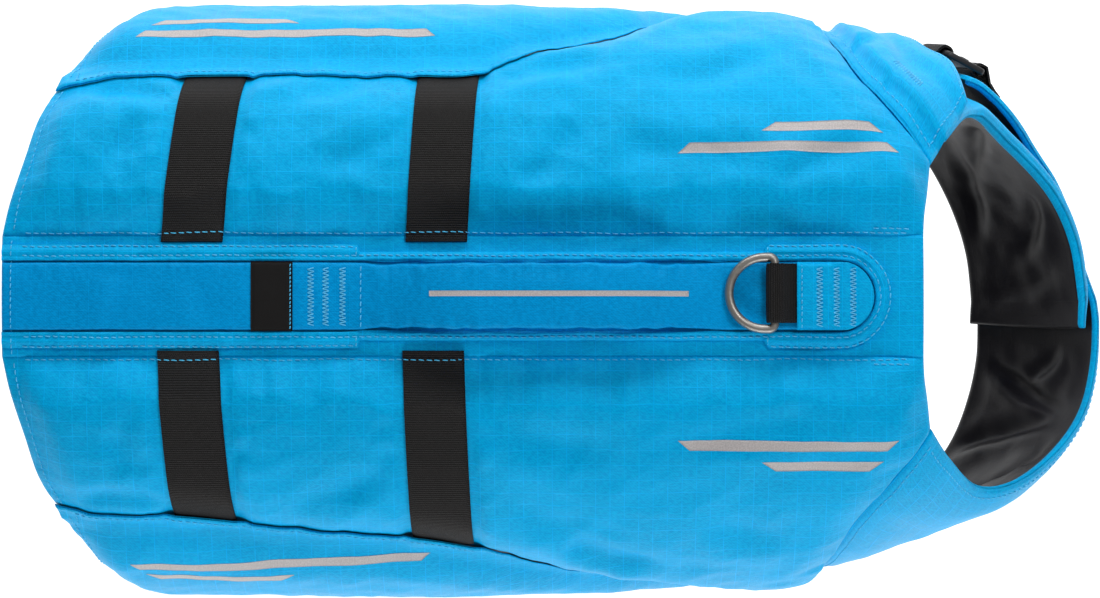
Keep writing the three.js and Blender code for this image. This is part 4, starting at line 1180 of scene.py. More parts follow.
def puckers(noise: Noise, distance: Array, along: Array, depth: float, pitch: float, reach: float) -> Array:
    """Short wrinkles that run away from a seam.

    Args:
        noise: where they are.
        distance: distance from the seam.
        along: distance along it.
        depth: their height.
        pitch: their spacing.
        reach: how far they run.

    Returns:
        Heights to add to the cloth.
    """
    wave = noise(along / pitch, distance / (3.2 * pitch))
    wave = wave + 0.5 * noise(along / (0.45 * pitch) + 50, distance / (2 * pitch))
    return depth * wave * np.exp(-distance / reach) * (1 - np.exp(-distance / 1.2))


@dataclass
class BackPanel(TorsoPanel):
    """Foam panel between the spine seam and the side seam."""

    edge_height: float = 3.0
    foam: float = 10.5
    inner_ramp: float = 17.5
    end_ramp: float = 17.0
    outer_ramp: float = 30.0
    press: float = 1.5
    seam_share: float = 0.5

    TAIL_EDGE = ((TAIL_X, 25), (-193, 40), (-187.5, 60), (-182.5, 80), (-173.5, 101))

    def cut(self) -> dict[str, Edge]:
        """The spine seam, the side seam, the tail and the shoulder."""
        return {
            "inner": Edge(((TAIL_X, SPINE_SEAM), (NAPE_X, SPINE_SEAM))),
            "outer": Edge(SIDE_SEAM[:, (0, self.seam_column)]),
            "rear": Edge(self.TAIL_EDGE),
            "front": Edge(SHOULDER_EDGE, SHOULDER_CORNER),
        }

    def base(self, x: Array, s: Array) -> Array:
        """Height of the outer face with no small relief."""
        sway = 0.2 * self.noise(x / 24, 5.5) + 0.15 * self.noise(x / 10, 8.5) + 0.07 * self.noise(x / 4.6, 3.5)
        ramp = self.inner_ramp * (1 + sway)
        raised = self.seam_share * rise(s, 52, 68) + 0.25 * rise(s, 125, 160)
        corner = 0.95 * rise(x, 112, 138)
        rear = line_distance(self.lines["rear"], x, s)
        front = line_distance(self.lines["front"], x, s)
        full = (
            slab(s - SPINE_SEAM, ramp, 0.07)
            * (corner + (1 - corner) * puff(np.maximum(0, self.seam_s(x) - s), self.outer_ramp))
            * slab(rear, self.end_ramp, 0.3)
            * (raised + (1 - raised) * puff(front, self.end_ramp))
        )
        return self.edge_height + self.foam * full

    def height(self, x: Array, s: Array) -> Array:
        """Height of the outer face, with folds and puckers, pressed under the straps."""
        rear = line_distance(self.lines["rear"], x, s)
        front = line_distance(self.lines["front"], x, s)
        side = np.maximum(0, self.seam_s(x) - s)
        inner = np.maximum(0, s - SPINE_SEAM)
        small = self.crumple(x, s, self.noise) * rise(np.minimum(np.minimum(inner, side), rear), 0, 12)
        small = small + puckers(self.noise, inner, x, 1.5, 10, 13) + puckers(self.noise, side, x + 300, 1.3, 9, 12)
        small = small + puckers(self.noise, rear, s + 500, 0.9, 9, 10) + puckers(self.noise, front, s + 700, 1.3, 9, 13)
        strap = self.under_strap(x, s)
        near = self.under_strap(x, s, 1, 16) * (1 - strap)
        small = small + near * 1.2 * self.noise(x / 26 + 9, s / 7.5 + 30)
        pressed = self.press * strap * clamp((self.base(x, s) - self.edge_height) / 4)
        return self.base(x, s) + (small + self.relief(x, s)) * (1 - strap) - pressed

    def build(self) -> Piece:
        """Makes the panel."""
        x, s = self.patch()
        rim = self.rim(x, s)
        lining = turned(rim, 0.7) - 0.25 * (1 + self.noise(x / 30 + 5, s / 22 + 5)) * rise(rim, 2, 12)
        return self.make("back_panel", x, s, self.height(x, s) - turned(rim, 1.3), lining)


@dataclass
class FlankPanel(TorsoPanel):
    """Foam panel from its lap over the back panel's edge down to the hem."""

    back: BackPanel = field(kw_only=True)
    foam: float = 11.0
    lap_cloth: float = 2.0
    lap_drop: float = 7.0
    inner_ramp: float = 22.0
    end_ramp: float = 19.0
    lap_gap: float = 0.4
    fold_from: float = 0.0
    seed: int = 31

    PITCH = 1.7
    TAIL_EDGE = (
        (-176, 93), (-173, 104), (-168, 120), (-162, 140), (-155, 160), (-147, 177), (-134, 205), (-124, 235),
        (-118, HEM_S),
    )  # fmt: skip
    ARMHOLE_EDGE = ((128, 182), (124, 195), (108, 206), (86, 219), (62, 236), (30, HEM_S))

    def cut(self) -> dict[str, Edge]:
        """The lap, the hem, the tail and the armhole."""
        xs = np.linspace(self.TAIL_EDGE[0][0], self.ARMHOLE_EDGE[0][0], 13)
        return {
            "inner": Edge(list(zip(xs, self.seam_s(xs) - LAP))),
            "outer": Edge((self.TAIL_EDGE[-1], self.ARMHOLE_EDGE[-1])),
            "rear": Edge(self.TAIL_EDGE),
            "front": Edge(self.ARMHOLE_EDGE),
        }

    def inner(self, x: Array, s: Array) -> Array:
        """Height of the inner face: over the back panel and its straps, then down to the form."""
        past = s - self.seam_s(x)
        web = (BackStrap.THICKNESS + 0.35) * self.under_strap(x, s, 0.4, 3.5)
        over = self.back.height(x, np.minimum(s, self.seam_s(x) - 0.4)) + self.lap_gap + web
        return np.where(past < 0, over, over * (1 - clamp((past - 0.5) / (self.lap_drop - 0.5)) ** 0.8))

    def height(self, x: Array, s: Array) -> Array:
        """Height of the outer face, with folds and puckers."""
        past = np.maximum(0, s - self.seam_s(x))
        ends = [line_distance(self.lines[name], x, s) for name in ("rear", "outer", "front")]
        full = puff(ends[0], self.end_ramp) * puff(ends[1], self.end_ramp) * puff(ends[2], self.end_ramp)
        full = full * puff(past, self.inner_ramp + 5)
        lap = line_distance(self.lines["inner"], x, s)
        small = 0.9 * self.crumple(x, s, self.noise) * rise(lap, 4, 16)
        small = small + puckers(self.noise, lap, x, 0.7, 10, 12) * rise(lap, 3, 8)
        for k, end in enumerate(ends):
            small = small + puckers(self.noise, end, x + s + 400 * k, 0.7, 10, 10)
        shell = self.lap_cloth - 0.9 * rise(x, self.fold_from, self.fold_from + 40)
        return self.inner(x, s) + shell + self.foam * full + small + self.relief(x, s)

    def build(self) -> Piece:
        """Makes the panel."""
        x, s = self.patch()
        rim = self.rim(x, s)
        slack = 0.25 * (1 + self.noise(x / 30, s / 22)) * rise(s - self.seam_s(x), 9, 20)
        lining = self.inner(x, s) + turned(rim, 0.6) - slack
        return self.make("flank_panel", x, s, self.height(x, s) - turned(rim, 1.1), lining)


class Ground:
    """Finished pieces that later ones lie on, over one form."""

    TOP = 45.0

    def __init__(self, form: Form, pieces: Sequence[Piece]) -> None:
        self.form = form
        points, faces, start = [], [], 0
        for piece in pieces:
            data = piece.data
            co = np.zeros(len(data.vertices) * 3)
            data.vertices.foreach_get("co", co)
            points.append(co.reshape(-1, 3) / MM)
            faces += [[i + start for i in p.vertices] for p in data.polygons]
            start += len(data.vertices)
        self.tree = BVHTree.FromPolygons(np.concatenate(points).tolist(), faces)

    def heights(self, u: Array, v: Array, top: float = TOP) -> tuple[Array, Array]:
        """Height of the topmost piece over places of the form, and its outward directions there."""
        above = self.form.place(u, v, top)
        inward = -self.form.normal(u, v)
        height, normals = np.zeros(np.shape(u)), -inward.copy()
        for k in np.ndindex(np.shape(u)):
            _, normal, _, distance = self.tree.ray_cast(Vector(above[k]), Vector(inward[k]), top + 12)
            if normal is not None:
                height[k] = top - distance
                n = np.array(normal)
                normals[k] = n if n @ inward[k] < 0 else -n
        return height, normals

    def lie(self, u: Array, v: Array, lift: float = 0.0) -> tuple[Array, Array]:
        """Points that lie on the topmost piece, and outward directions there."""
        height, normals = self.heights(u, v)
        return self.form.place(u, v, height + lift), normals


def smoothed(values: Array, axis: int, passes: int = 2) -> Array:
    """Values averaged with their neighbours along one axis."""
    for _ in range(passes):
        padded = np.concatenate([values.take([0], axis), values, values.take([-1], axis)], axis)
        n = values.shape[axis]
        values = sum(padded.take(range(k, n + k), axis) * w for k, w in ((0, 0.25), (1, 0.5), (2, 0.25)))
    return values


@dataclass
class Spine:
    """The flat spine panel and what is sewn along it: handle, edging, label, ring tab, cover and ring."""

    torso: TorsoForm
    half: float = 25.7
    rest_gap: float = 0.35
    handle_half: float = 14.0
    handle_back: float = -195.6
    handle_flat: float = 2.6
    grip_back: float = -42.0
    grip_front: float = 104.0
    grip_rise: float = 9.6
    grip_slope: float = 42.0
    grip_thickness: float = 4.0
    round_x: float = 158.2
    cover_back: float = 139.5
    edging_inner: float = 14.7
    edging_narrow: float = 18.4
    edging_wide: float = 21.6
    patch_rear: float = -45.0
    patch_front: float = 126.5
    ring_x: float = 130.2
    ring_y: float = 1.2
    tab_half: float = 12.5
    tab_front: float = 154.5
    tab_leg: float = 1.3
    tab_hole: float = 2.5

    def __post_init__(self) -> None:
        """Works out the heights of the stack."""
        self.noise = Noise(71)
        self.over = SPINE_THICKNESS + self.rest_gap
        self.tab_base = self.over + self.handle_flat + self.rest_gap
        self.bar_height = self.tab_base + self.tab_leg + self.tab_hole
        self.tab_top = self.tab_base + 2 * self.tab_leg + 0.4

    def build_panel(self) -> Piece:
        """The flat spine panel."""
        x = TAIL_X + spaced(NAPE_X - TAIL_X, 2.0) * (NAPE_X - TAIL_X)
        s = (spaced(2 * self.half, 1.6) * 2 - 1) * self.half
        x, s = np.meshgrid(x, s, indexing="ij")
        rim_s, rim_x = self.half - np.abs(s), np.minimum(x - TAIL_X, NAPE_X - x)
        wave = 0.6 * self.noise(x / 14, s / 8) * rise(rim_s, 0, 4) * rise(np.abs(s), 18.8, 21)
        top = SPINE_THICKNESS + np.minimum(wave, 0.2) - turned(rim_s, 1.3) - turned(rim_x, 1.2)
        low = turned(np.minimum(rim_s, rim_x), 0.6)
        mesh = Mesh()
        wall(mesh, self.torso.place(x, s, top), self.torso.place(x, s, low), np.stack([x, s], -1))
        piece = tie(mesh.build("spine_panel_cloth", [Look.SHELL, Look.LINING]), "spine_panel")
        return piece

    def round_end(self, across: Array) -> Array:
        """Front end of what is as wide as the handle."""
        return self.round_x + np.sqrt(np.maximum(0, self.handle_half**2 - across**2))

    def lift(self, x: Array) -> Array:
        """How far the handle bows clear of the spine."""
        up = rise(x, self.grip_back, self.grip_back + self.grip_slope)
        return self.grip_rise * up * (1 - rise(x, self.grip_front - self.grip_slope, self.grip_front))

    def build_handle(self) -> Piece:
        """The padded handle, sewn flat at its ends and free between them."""
        length = self.round_x + self.handle_half - self.handle_back
        stop = self.handle_back + spaced(length, 1.7) * length
        across = (spaced(2 * self.handle_half, 1.3, (0, 0.2, 0.5, 0.9, 1.5, 2.3)) * 2 - 1) * self.handle_half
        stop, across = np.meshgrid(stop, across, indexing="ij")
        past = np.maximum(0, stop - self.cover_back) / (self.handle_back + length - self.cover_back)
        x = np.minimum(stop, self.cover_back) + past * (self.round_end(across) - self.cover_back)
        free = rise(x, self.grip_back - 6, self.grip_back + 8) * (1 - rise(x, self.grip_front - 8, self.grip_front + 6))
        thick = self.handle_flat + (self.grip_thickness - self.handle_flat) * free
        rim = self.handle_half - np.abs(across)
        crown = 0.9 * (1 - (across / self.handle_half) ** 2) * (0.4 + free)
        sides = np.sign(across) * 40
        gather = puckers(self.noise, rim, x + sides, 3.6, 4.6, 3.0) * (0.3 + 0.8 * free)
        creases = (
            Crease(-150, -14, -142, 14, 0.7, 4), Crease(-108, -13, -116, 12, 0.5, 5), Crease(-165, 12, -138, 8, 0.5, 3),
            Crease(112, 3, 122, -12, 0.6, 4), Crease(-58, 13, -52, -13, 0.4, 3),
        )  # fmt: skip
        folds = sum(c.relief(x, across) for c in creases)
        swell = 0.3 * self.noise(x / 26, across / 14 + 3)
        flat = rise(x, self.cover_back - 6, self.cover_back)
        label = rise(x, -94, -91) * (1 - rise(x, -72, -69))
        soft = (crown + gather + folds + swell) * (1 - flat) * (1 - label)
        ends = np.minimum(x - self.handle_back, self.handle_back + length - stop)
        edge = np.minimum(rim, ends)
        low = self.over + self.lift(x) + turned(edge, 1.2) * (0.4 + 0.6 * free)
        top = self.over + self.lift(x) + thick - turned(edge, 1.5) + np.minimum(soft, 1.9)
        sway = 0.55 * self.noise(x / 6.5, sides / 9) * (across / self.handle_half) ** 4
        y = across * (1 - 0.075 * free) + sway * free
        mesh = Mesh()
        coords = np.stack([x, across], -1)
        wall(mesh, self.torso.place(x, y, top), self.torso.place(x, y, low), coords, (0, 0))
        return cloth(mesh, "handle", 0.5, [Look.HANDLE])

    def build_edging(self) -> Piece:
        """Folded edging: two rails joined by a round front end, wide at the sewn-down ends."""
        back = self.handle_back
        straight = np.concatenate([
            back + spaced(self.patch_rear - back, 1.8, (0, 0.4, 1.0)) * (self.patch_rear - back),
            np.linspace(self.patch_rear + 0.5, self.patch_front - 0.5, 96),
            np.linspace(self.patch_front, self.round_x, 20),
        ])  # fmt: skip
        turn = np.linspace(0, math.pi, 42)[1:-1]
        x = np.concatenate([straight, np.full(len(turn), self.round_x), straight[::-1]])
        angle = np.concatenate([np.zeros(len(straight)), turn, np.full(len(straight), math.pi)])
        f = spaced(1.0, 0.12, (0, 0.04, 0.1, 0.18))
        x, f = np.meshgrid(x, f, indexing="ij")
        angle = np.repeat(angle[:, None], f.shape[1], axis=1)
        rear, front = self.patch_rear, self.patch_front
        wide = np.maximum(1 - rise(x, rear - 0.4, rear + 0.4), rise(x, front - 0.4, front + 0.4))
        outer = self.edging_narrow + (self.edging_wide - self.edging_narrow) * wide
        radius = self.edging_inner + f * (outer - self.edging_inner)
        at = x + 1.2 * angle * self.edging_inner
        rail_side = np.where(np.cos(angle) < 0, 7.5, 1.5)
        ripple = self.noise(at / 9, rail_side) + 0.6 * self.noise(at / 4, rail_side + 3)
        narrow = 1 - np.maximum(rise(-x, -rear, 8 - rear), rise(x, front - 8, front))
        radius = radius - 0.6 * clamp(0.4 + self.noise(at / 12, rail_side + 9)) * (1 - f) ** 2 * narrow
        inner_edge = (radius - self.edging_inner) + 0.1
        top = 2.5 + 0.7 * ripple * rise(inner_edge, 0, 1.2) - turned(inner_edge, 1.1)
        top = top - 0.7 * np.exp(-(((radius - 16.7) / 0.9) ** 2)) - 0.5 * wide * np.exp(-(((radius - 20.4) / 0.9) ** 2))
        top = top - (0.9 + 0.5 * (1 - wide)) * rise(f, 0.55, 1) - 0.5 * rise(f, 0.9, 1)
        px, py = x + radius * np.sin(angle), radius * np.cos(angle)
        rail = self.torso.place(px, py, self.over + np.maximum(top, 0.35))
        mesh = Mesh()
        wall(mesh, rail, self.torso.place(px, py, self.over - 0.2 + 0 * top), np.stack([at, radius], -1), (0, 0))
        return cloth(mesh, "handle_edging", 0.3, [Look.SHELL])

    def build_label(self) -> Piece:
        """The bare label, a flat loop of woven tape across the handle."""
        back, front, half = -90.3, -72.7, 14.3
        x, across = np.meshgrid(np.linspace(back, front, 18), np.linspace(-half, half, 34), indexing="ij")
        rim = np.minimum(np.minimum(x - back, front - x), half - np.abs(across))
        top = self.over + self.handle_flat + self.rest_gap + 0.75 - turned(rim, 0.5)
        top = top + 0.12 * self.noise(x / 8, across / 9)
        low = self.over + self.handle_flat + 0.1 + 0 * top
        mesh = Mesh()
        coords = np.stack([across, x], -1)
        wall(mesh, self.torso.place(x, across, top), self.torso.place(x, across, low), coords, (0, 0))
        piece = tie(mesh.build("loop_label_tape", [Look.LABEL]), "loop_label")
        return piece

    def build_tab(self) -> Piece:
        """Webbing loop round the ring's straight side, with both legs sewn down under the cover."""
        radius = self.tab_hole + self.tab_leg / 2
        turn = np.linspace(-math.pi / 2, -math.pi * 1.5, 22)
        chain = [(self.tab_front, self.tab_base + 0.65), (142, self.tab_base + 0.65), (135, self.tab_base + 0.65)]
        chain += [(self.ring_x + radius * math.cos(a), self.bar_height + radius * math.sin(a)) for a in turn]
        high, low = self.bar_height + radius, self.tab_top - 0.65
        chain += [(self.ring_x + d, high + (low - high) * float(rise(d, 1.5, 9))) for d in (1.5, 3, 4.5, 6, 7.5, 9, 12)]
        chain += [(self.tab_front, low)]
        level = float(self.torso.place(self.ring_x, 0.0)[2])
        points = np.array([(x, self.ring_y, h) for x, h in chain]) + (0, 0, level)
        along = np.gradient(points, axis=0)
        up = unit(np.cross(along, (0, 1, 0)))
        mesh = Mesh()
        length = ribbon(mesh, points, up, 2 * self.tab_half, self.tab_leg)
        return webbing(mesh, "ring_tab", 2 * self.tab_half, length)

    def build_cover(self) -> Piece:
        """Cloth patch over the tab's legs, with a round front end and two turned edges."""
        f = spaced(1.0, 0.035, (0, 0.01, 0.03, 0.06))
        across = (spaced(2 * self.handle_half, 1.1, (0, 0.2, 0.5, 0.9, 1.5, 2.3)) * 2 - 1) * (self.handle_half - 0.15)
        f, across = np.meshgrid(f, across, indexing="ij")
        x = self.cover_back + f * (self.round_end(across) - 0.2 - self.cover_back)
        down = rise(x, self.tab_front - 1.5, self.tab_front + 6)
        sides = rise(np.abs(across), self.tab_half, self.handle_half - 0.2) * 0.75
        drop = np.maximum(down, sides)
        low = self.tab_top + 0.25 - (self.tab_top - self.tab_base) * drop
        rim = np.minimum(np.minimum(x - self.cover_back, self.round_end(across) - x), self.handle_half - np.abs(across))
        tacks = sum(np.exp(-(((x - c) / 1.5) ** 2)) for c in (149.0, 156.0, 163.3))
        tacks = tacks * (1 - rise(np.abs(across), 10.5, 12.5))
        top = low + 1.5 - turned(rim, 0.8) - 0.45 * tacks + 0.18 * self.noise(x / 5, across / 6)
        mesh = Mesh()
        coords = np.stack([x, across], -1)
        wall(mesh, self.torso.place(x, across, top), self.torso.place(x, across, low), coords, (0, 0))
        piece = tie(mesh.build("ring_cover_cloth", [Look.SHELL]), "ring_cover")
        return piece

    def build_ring(self) -> Piece:
        """The leash ring: round wire, straight at the webbing and half round beyond it."""
        half, corner, reach = 15.1, 2.4, 19.2
        far = reach - half
        quarter = math.pi / 2

        def arc(x: float, y: float, radius: float, angles: Array) -> list[Spot]:
            """Points of an arc round a middle."""
            return [(x + radius * math.cos(a), y + radius * math.sin(a)) for a in angles]

        chain: list[Spot] = [(0.0, y) for y in np.linspace(-(half - corner), half - corner, 16)]
        chain += arc(-corner, half - corner, corner, np.linspace(0, quarter, 9)[1:])
        chain += arc(-far, 0, half, np.linspace(quarter, 3 * quarter, 61))
        chain += arc(-corner, corner - half, corner, np.linspace(-quarter, 0, 9)[:-1])
        points = np.array([(x, y, 0.0) for x, y in chain])
        droop = math.radians(-5.0)
        turn = np.array([[math.cos(droop), 0, math.sin(droop)], [0, 1, 0], [-math.sin(droop), 0, math.cos(droop)]])
        along = np.roll(points, -1, axis=0) - np.roll(points, 1, axis=0)
        across = unit(np.cross(along, (0, 0, 1)))
        middle = (self.ring_x, self.ring_y, self.bar_height + float(self.torso.place(self.ring_x, 0.0)[2]))
        up = np.repeat([turn @ (0, 0, 1)], len(points), axis=0)
        mesh = Mesh()
        tube(mesh, (points @ turn.T + middle)[None], (across @ turn.T)[None], up[None], np.array([1.87]), True, 20)
        return tie(mesh.build("leash_ring_wire", [Look.METAL]), "leash_ring", "leash_ring")


def build_back_strap(panel: BackPanel, strap: BackStrap, ground: Ground) -> Piece:
    """Webbing that lies pressed into the back panel.

    Args:
        panel: the back panel of its side.
        strap: the strap's places.
        ground: what it lies on.

    Returns:
        The strap.
    """
    last = panel.last_s(strap)
    s = strap.START + spaced(last - strap.START, 1.6, (0, 0.3, 0.8, 1.5)) * (last - strap.START)
    across = np.linspace(-0.5, 0.5, 15) * strap.WIDTH
    s, across = np.meshgrid(s, across, indexing="ij")
    x = strap.centre(s, last) + across
    signed = panel.side.value * s
    height = ground.heights(x, signed)[0]
    low = np.maximum(smoothed(height, 0, 3), height) + 0.22
    low = np.maximum(low, SPINE_THICKNESS + 0.2 * (s < SPINE_SEAM + 2))
    f = np.abs(across) / (strap.WIDTH / 2)
    thick = strap.THICKNESS * (0.6 + 0.4 * np.sqrt(np.maximum(0, 1 - f**10)))
    ends = np.minimum(s - strap.START, last - s)
    mesh = Mesh()
    coords = np.stack([s, across], -1)
    outer = panel.torso.place(x, signed, low + thick - turned(ends, 0.4))
    wall(mesh, outer, panel.torso.place(x, signed, low), coords, (0, 0))
    length = float(walk(outer[:, 7])[-1])
    word = panel.side.word
    name = f"strap_back_{word}_{strap.end}"
    return webbing(mesh, name, strap.WIDTH, length)


def rounded(points: Sequence[Spot], radius: float, steps: int = 4) -> list[Spot]:
    """Closed outline with its corners rounded."""
    made = []
    ring = [np.array(p, float) for p in points]
    for k, corner in enumerate(ring):
        before, after = ring[k - 1] - corner, ring[(k + 1) % len(ring)] - corner
        cut = min(radius, 0.49 * np.linalg.norm(before), 0.49 * np.linalg.norm(after))
        a = corner + before / np.linalg.norm(before) * cut
        b = corner + after / np.linalg.norm(after) * cut
        for f in np.linspace(0, 1, steps + 1):
            made.append(tuple(a * (1 - f) ** 2 + corner * 2 * f * (1 - f) + b * f * f))
    return made


def rectangle(x1: float, x2: float, half: float, middle: float = 0.0) -> list[Spot]:
    """Corners of a rectangle."""
    return [(x1, middle - half), (x2, middle - half), (x2, middle + half), (x1, middle + half)]


@dataclass
class Moulding:
    """Bevelled plastic plates gathered in a local frame, then placed."""

    mesh: Mesh = field(default_factory=Mesh)

    SHARP = 40.0

    def plate(self, outline: Sequence[Spot], low: float, high: float, bevel: float,
              holes: Sequence[Sequence[Spot]] = ()) -> None:
        """Adds a flat plate with holes and round edges, between two heights."""
        curve = bpy.data.curves.new("plate", "CURVE")
        curve.dimensions, curve.fill_mode = "2D", "BOTH"
        curve.extrude, curve.bevel_depth, curve.bevel_resolution = (high - low) / 2 - bevel, bevel, 2
        curve.offset = -bevel
        for loop in (outline, *holes):
            spline = curve.splines.new("POLY")
            spline.points.add(len(loop) - 1)
            spline.points.foreach_set("co", [k for x, y in loop for k in (x, y, 0, 1)])
            spline.use_cyclic_u = True
        holder = bpy.data.objects.new("plate", curve)
        data = bpy.data.meshes.new_from_object(holder)
        work = bmesh.new()
        work.from_mesh(data)
        bmesh.ops.remove_doubles(work, verts=work.verts, dist=1e-4)
        points = np.array([v.co for v in work.verts]) + (0, 0, (low + high) / 2)
        faces = [[v.index for v in f.verts] for f in work.faces]
        self.mesh.gather(points, faces)
        work.free()
        bpy.data.objects.remove(holder)
        bpy.data.meshes.remove(data)
        bpy.data.curves.remove(curve)

    def build(self, node: str, place: Array) -> Piece:
        """Places the plates by a 4x4 frame and makes the piece."""
        self.mesh.points = [p @ place[:3, :3].T + place[:3, 3] for p in self.mesh.points]
        return tie(self.mesh.build(f"{node}_moulded", [Look.PLASTIC], self.SHARP), node)


def axes(along: Array, outward: Array, centre: Array) -> Array:
    """4x4 frame from its X axis, its Z axis and its origin."""
    made = np.eye(4)
    made[:3, 0], made[:3, 1], made[:3, 2], made[:3, 3] = along, np.cross(outward, along), outward, centre
    return made


@dataclass
class Buckle:
    """Fastened side-release buckle under the belly, with the webbing at both its ends."""

    torso: TorsoForm
    name: str
    x: float
    sewn_x: float

    WIDTH = 34.0
    THICKNESS = 8.4
    MOUTH, ARM_END, BODY_END, TANG_END = -9.0, 6.0, 14.0, -17.0
    ARM = 4.2
    BAR_HALF, BAR_THICKNESS, WRAP = 1.5, 2.8, 2.35
    SLOT_WIDTH, SLOT_LENGTH = 28.0, 4.6
    LIFT = 7.2
    STRAP_HEIGHT = 1.4
    WEBBING, WEBBING_WIDTH = 1.6, 25.0

    def __post_init__(self) -> None:
        """Finds the buckle's frame under the belly."""
        girth = self.torso.foot(np.array((self.x, 0.0, -400.0)), self.x, 330, 400)[0]
        outward = unit(self.torso.normal(np.array(self.x), np.array(girth)) * (1, 0, 1))
        centre = self.torso.place(np.array(self.x), np.array(girth), np.array(self.LIFT)) * (1, 0, 1)
        self.girth = girth
        self.frame = axes(np.array((0.0, 1.0, 0.0)), outward, centre)
        self.pitch = self.SLOT_LENGTH + 2 * self.BAR_HALF
        self.body_bar = self.BODY_END + self.SLOT_LENGTH + self.BAR_HALF
        self.tang_bar = self.TANG_END - self.SLOT_LENGTH - self.BAR_HALF

    def build_body(self) -> Piece:
        """The socket half: a hollow block with side windows, a thumb hollow and a bar for the webbing."""
        half, t = self.WIDTH / 2, self.THICKNESS / 2
        notch = half - self.ARM - 0.5
        outline = [
            (self.MOUTH, -notch), (self.MOUTH, notch), (self.ARM_END - 1.5, notch), (self.ARM_END, notch + 1.2),
            (self.ARM_END, half - 0.4), (self.BODY_END, half), (self.BODY_END, -half), (self.ARM_END, -half + 0.4),
            (self.ARM_END, -notch - 1.2), (self.ARM_END - 1.5, -notch),
        ]  # fmt: skip
        made = Moulding()
        made.plate(rounded(outline[::-1], 1.6), -t, t, 1.3)
        made.plate(rounded(rectangle(self.MOUTH - 0.1, self.MOUTH + 3.2, notch - 0.6), 1.2), -t - 0.35, t + 0.35, 0.8)
        hollow = rounded(rectangle(-2.4, 8.4, 7.1), 3.8, 6)
        made.plate(rounded(rectangle(-3.5, 9.5, 8.2), 4.5, 6), t - 0.6, t + 0.3, 0.3, [hollow])
        bar = rounded(rectangle(self.BODY_END - 3, self.BODY_END + self.pitch, half), 3.2, 5)
        slot = rounded(rectangle(self.BODY_END, self.BODY_END + self.SLOT_LENGTH, self.SLOT_WIDTH / 2), 0.9)
        made.plate(bar, -self.BAR_THICKNESS / 2, self.BAR_THICKNESS / 2, 0.9, [slot])
        return made.build(f"buckle_{self.name}_body", self.frame)

    def build_tang(self) -> Piece:
        """The prong half: a shoulder, two side prongs with finger pads and two bars for the webbing."""
        half = self.WIDTH / 2
        shoulder = self.MOUTH - 0.4
        made = Moulding()
        made.plate(rounded(rectangle(self.TANG_END, shoulder, half), 2.0, 5), -3.4, 3.4, 1.2)
        made.plate(rounded(rectangle(self.TANG_END + 1.6, shoulder - 1.4, half - 4), 1.2), -3.7, 3.7, 0.4)
        for side in (1, -1):
            arm = [
                (shoulder - 2, half - 3.4), (self.ARM_END - 1.2, half - self.ARM), (self.ARM_END - 0.6, half - 1.2),
                (self.ARM_END - 3, half + 0.1), (shoulder + 5, half - 0.9), (shoulder - 2, half - 0.6),
            ]  # fmt: skip
            outline = rounded([(x, y * side) for x, y in arm][:: side], 1.0)
            made.plate(outline, -2.2, 2.2, 0.7)
        end = self.TANG_END - 2 * self.pitch
        slots = [
            rounded(rectangle(self.TANG_END - self.SLOT_LENGTH, self.TANG_END, self.SLOT_WIDTH / 2), 0.9),
            rounded(rectangle(end + 2 * self.BAR_HALF, end + self.pitch, self.SLOT_WIDTH / 2 - 0.5), 0.9),
        ]
        made.plate(rounded(rectangle(end, self.TANG_END + 3, half), 3.2, 5), -1.4, 1.4, 0.8, slots)
        return made.build(f"buckle_{self.name}_tang", self.frame)

    def hairpin(self, bar: Spot, hold: float, tail: float) -> Array:
        """Middle line of webbing that turns round a bar and lies back on itself.

        Args:
            bar: distance round the torso and height of the bar.
            hold: how far the webbing stays level past the bar.
            tail: length of the part that lies back.

        Returns:
            Chain of distances round the torso and heights.
        """
        start = HEM_S + 0.5
        radius = self.WRAP + self.WEBBING / 2
        reach = bar[0] - start
        along = np.linspace(0, 1, 40)[:-1] * (reach - 1.5)
        lift = rise(along, reach - hold - 22, reach - hold)
        first = np.stack([start + along, self.STRAP_HEIGHT + (bar[1] - radius - self.STRAP_HEIGHT) * lift], -1)
        angle = math.pi * (np.linspace(0, 1, 15) - 0.5)
        turn = np.stack([bar[0] + radius * np.cos(angle), bar[1] + radius * np.sin(angle)], -1)
        lying = self.STRAP_HEIGHT + self.WEBBING + 1.2
        back = 3 + np.linspace(0, 1, 28)[1:] * (tail - 3)
        drop = rise(back, hold, hold + 26)
        last = np.stack([bar[0] - back, bar[1] + radius + (lying - bar[1] - radius) * drop], -1)
        return np.concatenate([first, turn, last])

    def build_strap(self, side: Side) -> Piece:
        """Webbing from the hem to the buckle on one side."""
        bar, hold, tail = (self.body_bar, 4.0, 34.0) if side is Side.LEFT else (-self.tang_bar, self.pitch + 4, 62.0)
        centre = self.frame[:3, 3]
        foot = self.torso.foot(np.array((self.x, bar, centre[2])), self.x, self.girth - 60, self.girth)
        chain = self.hairpin(foot, hold, tail)

        def put(s: Array, across: Array, h: Array) -> Array:
            """Points level with the bar near it, and on the body further off."""
            past = foot[0] - s
            local = np.stack([side.value * (bar + past), across, h - foot[1]], -1)
            flat = local @ self.frame[:3, :3].T + centre
            slant = (self.sewn_x - self.x) * (1 - rise(s, HEM_S, foot[0] - 20))
            on_body = self.torso.place(self.x + across + slant, side.value * s, h)
            share = rise(past, hold + 1, hold + 16)[..., None]
            return flat * (1 - share) + on_body * share

        mesh = Mesh()
        length = strip(mesh, chain, self.WEBBING_WIDTH, self.WEBBING, put)
        name = f"strap_belly_{self.name}_{side.word}"
        return webbing(mesh, name, self.WEBBING_WIDTH, length)


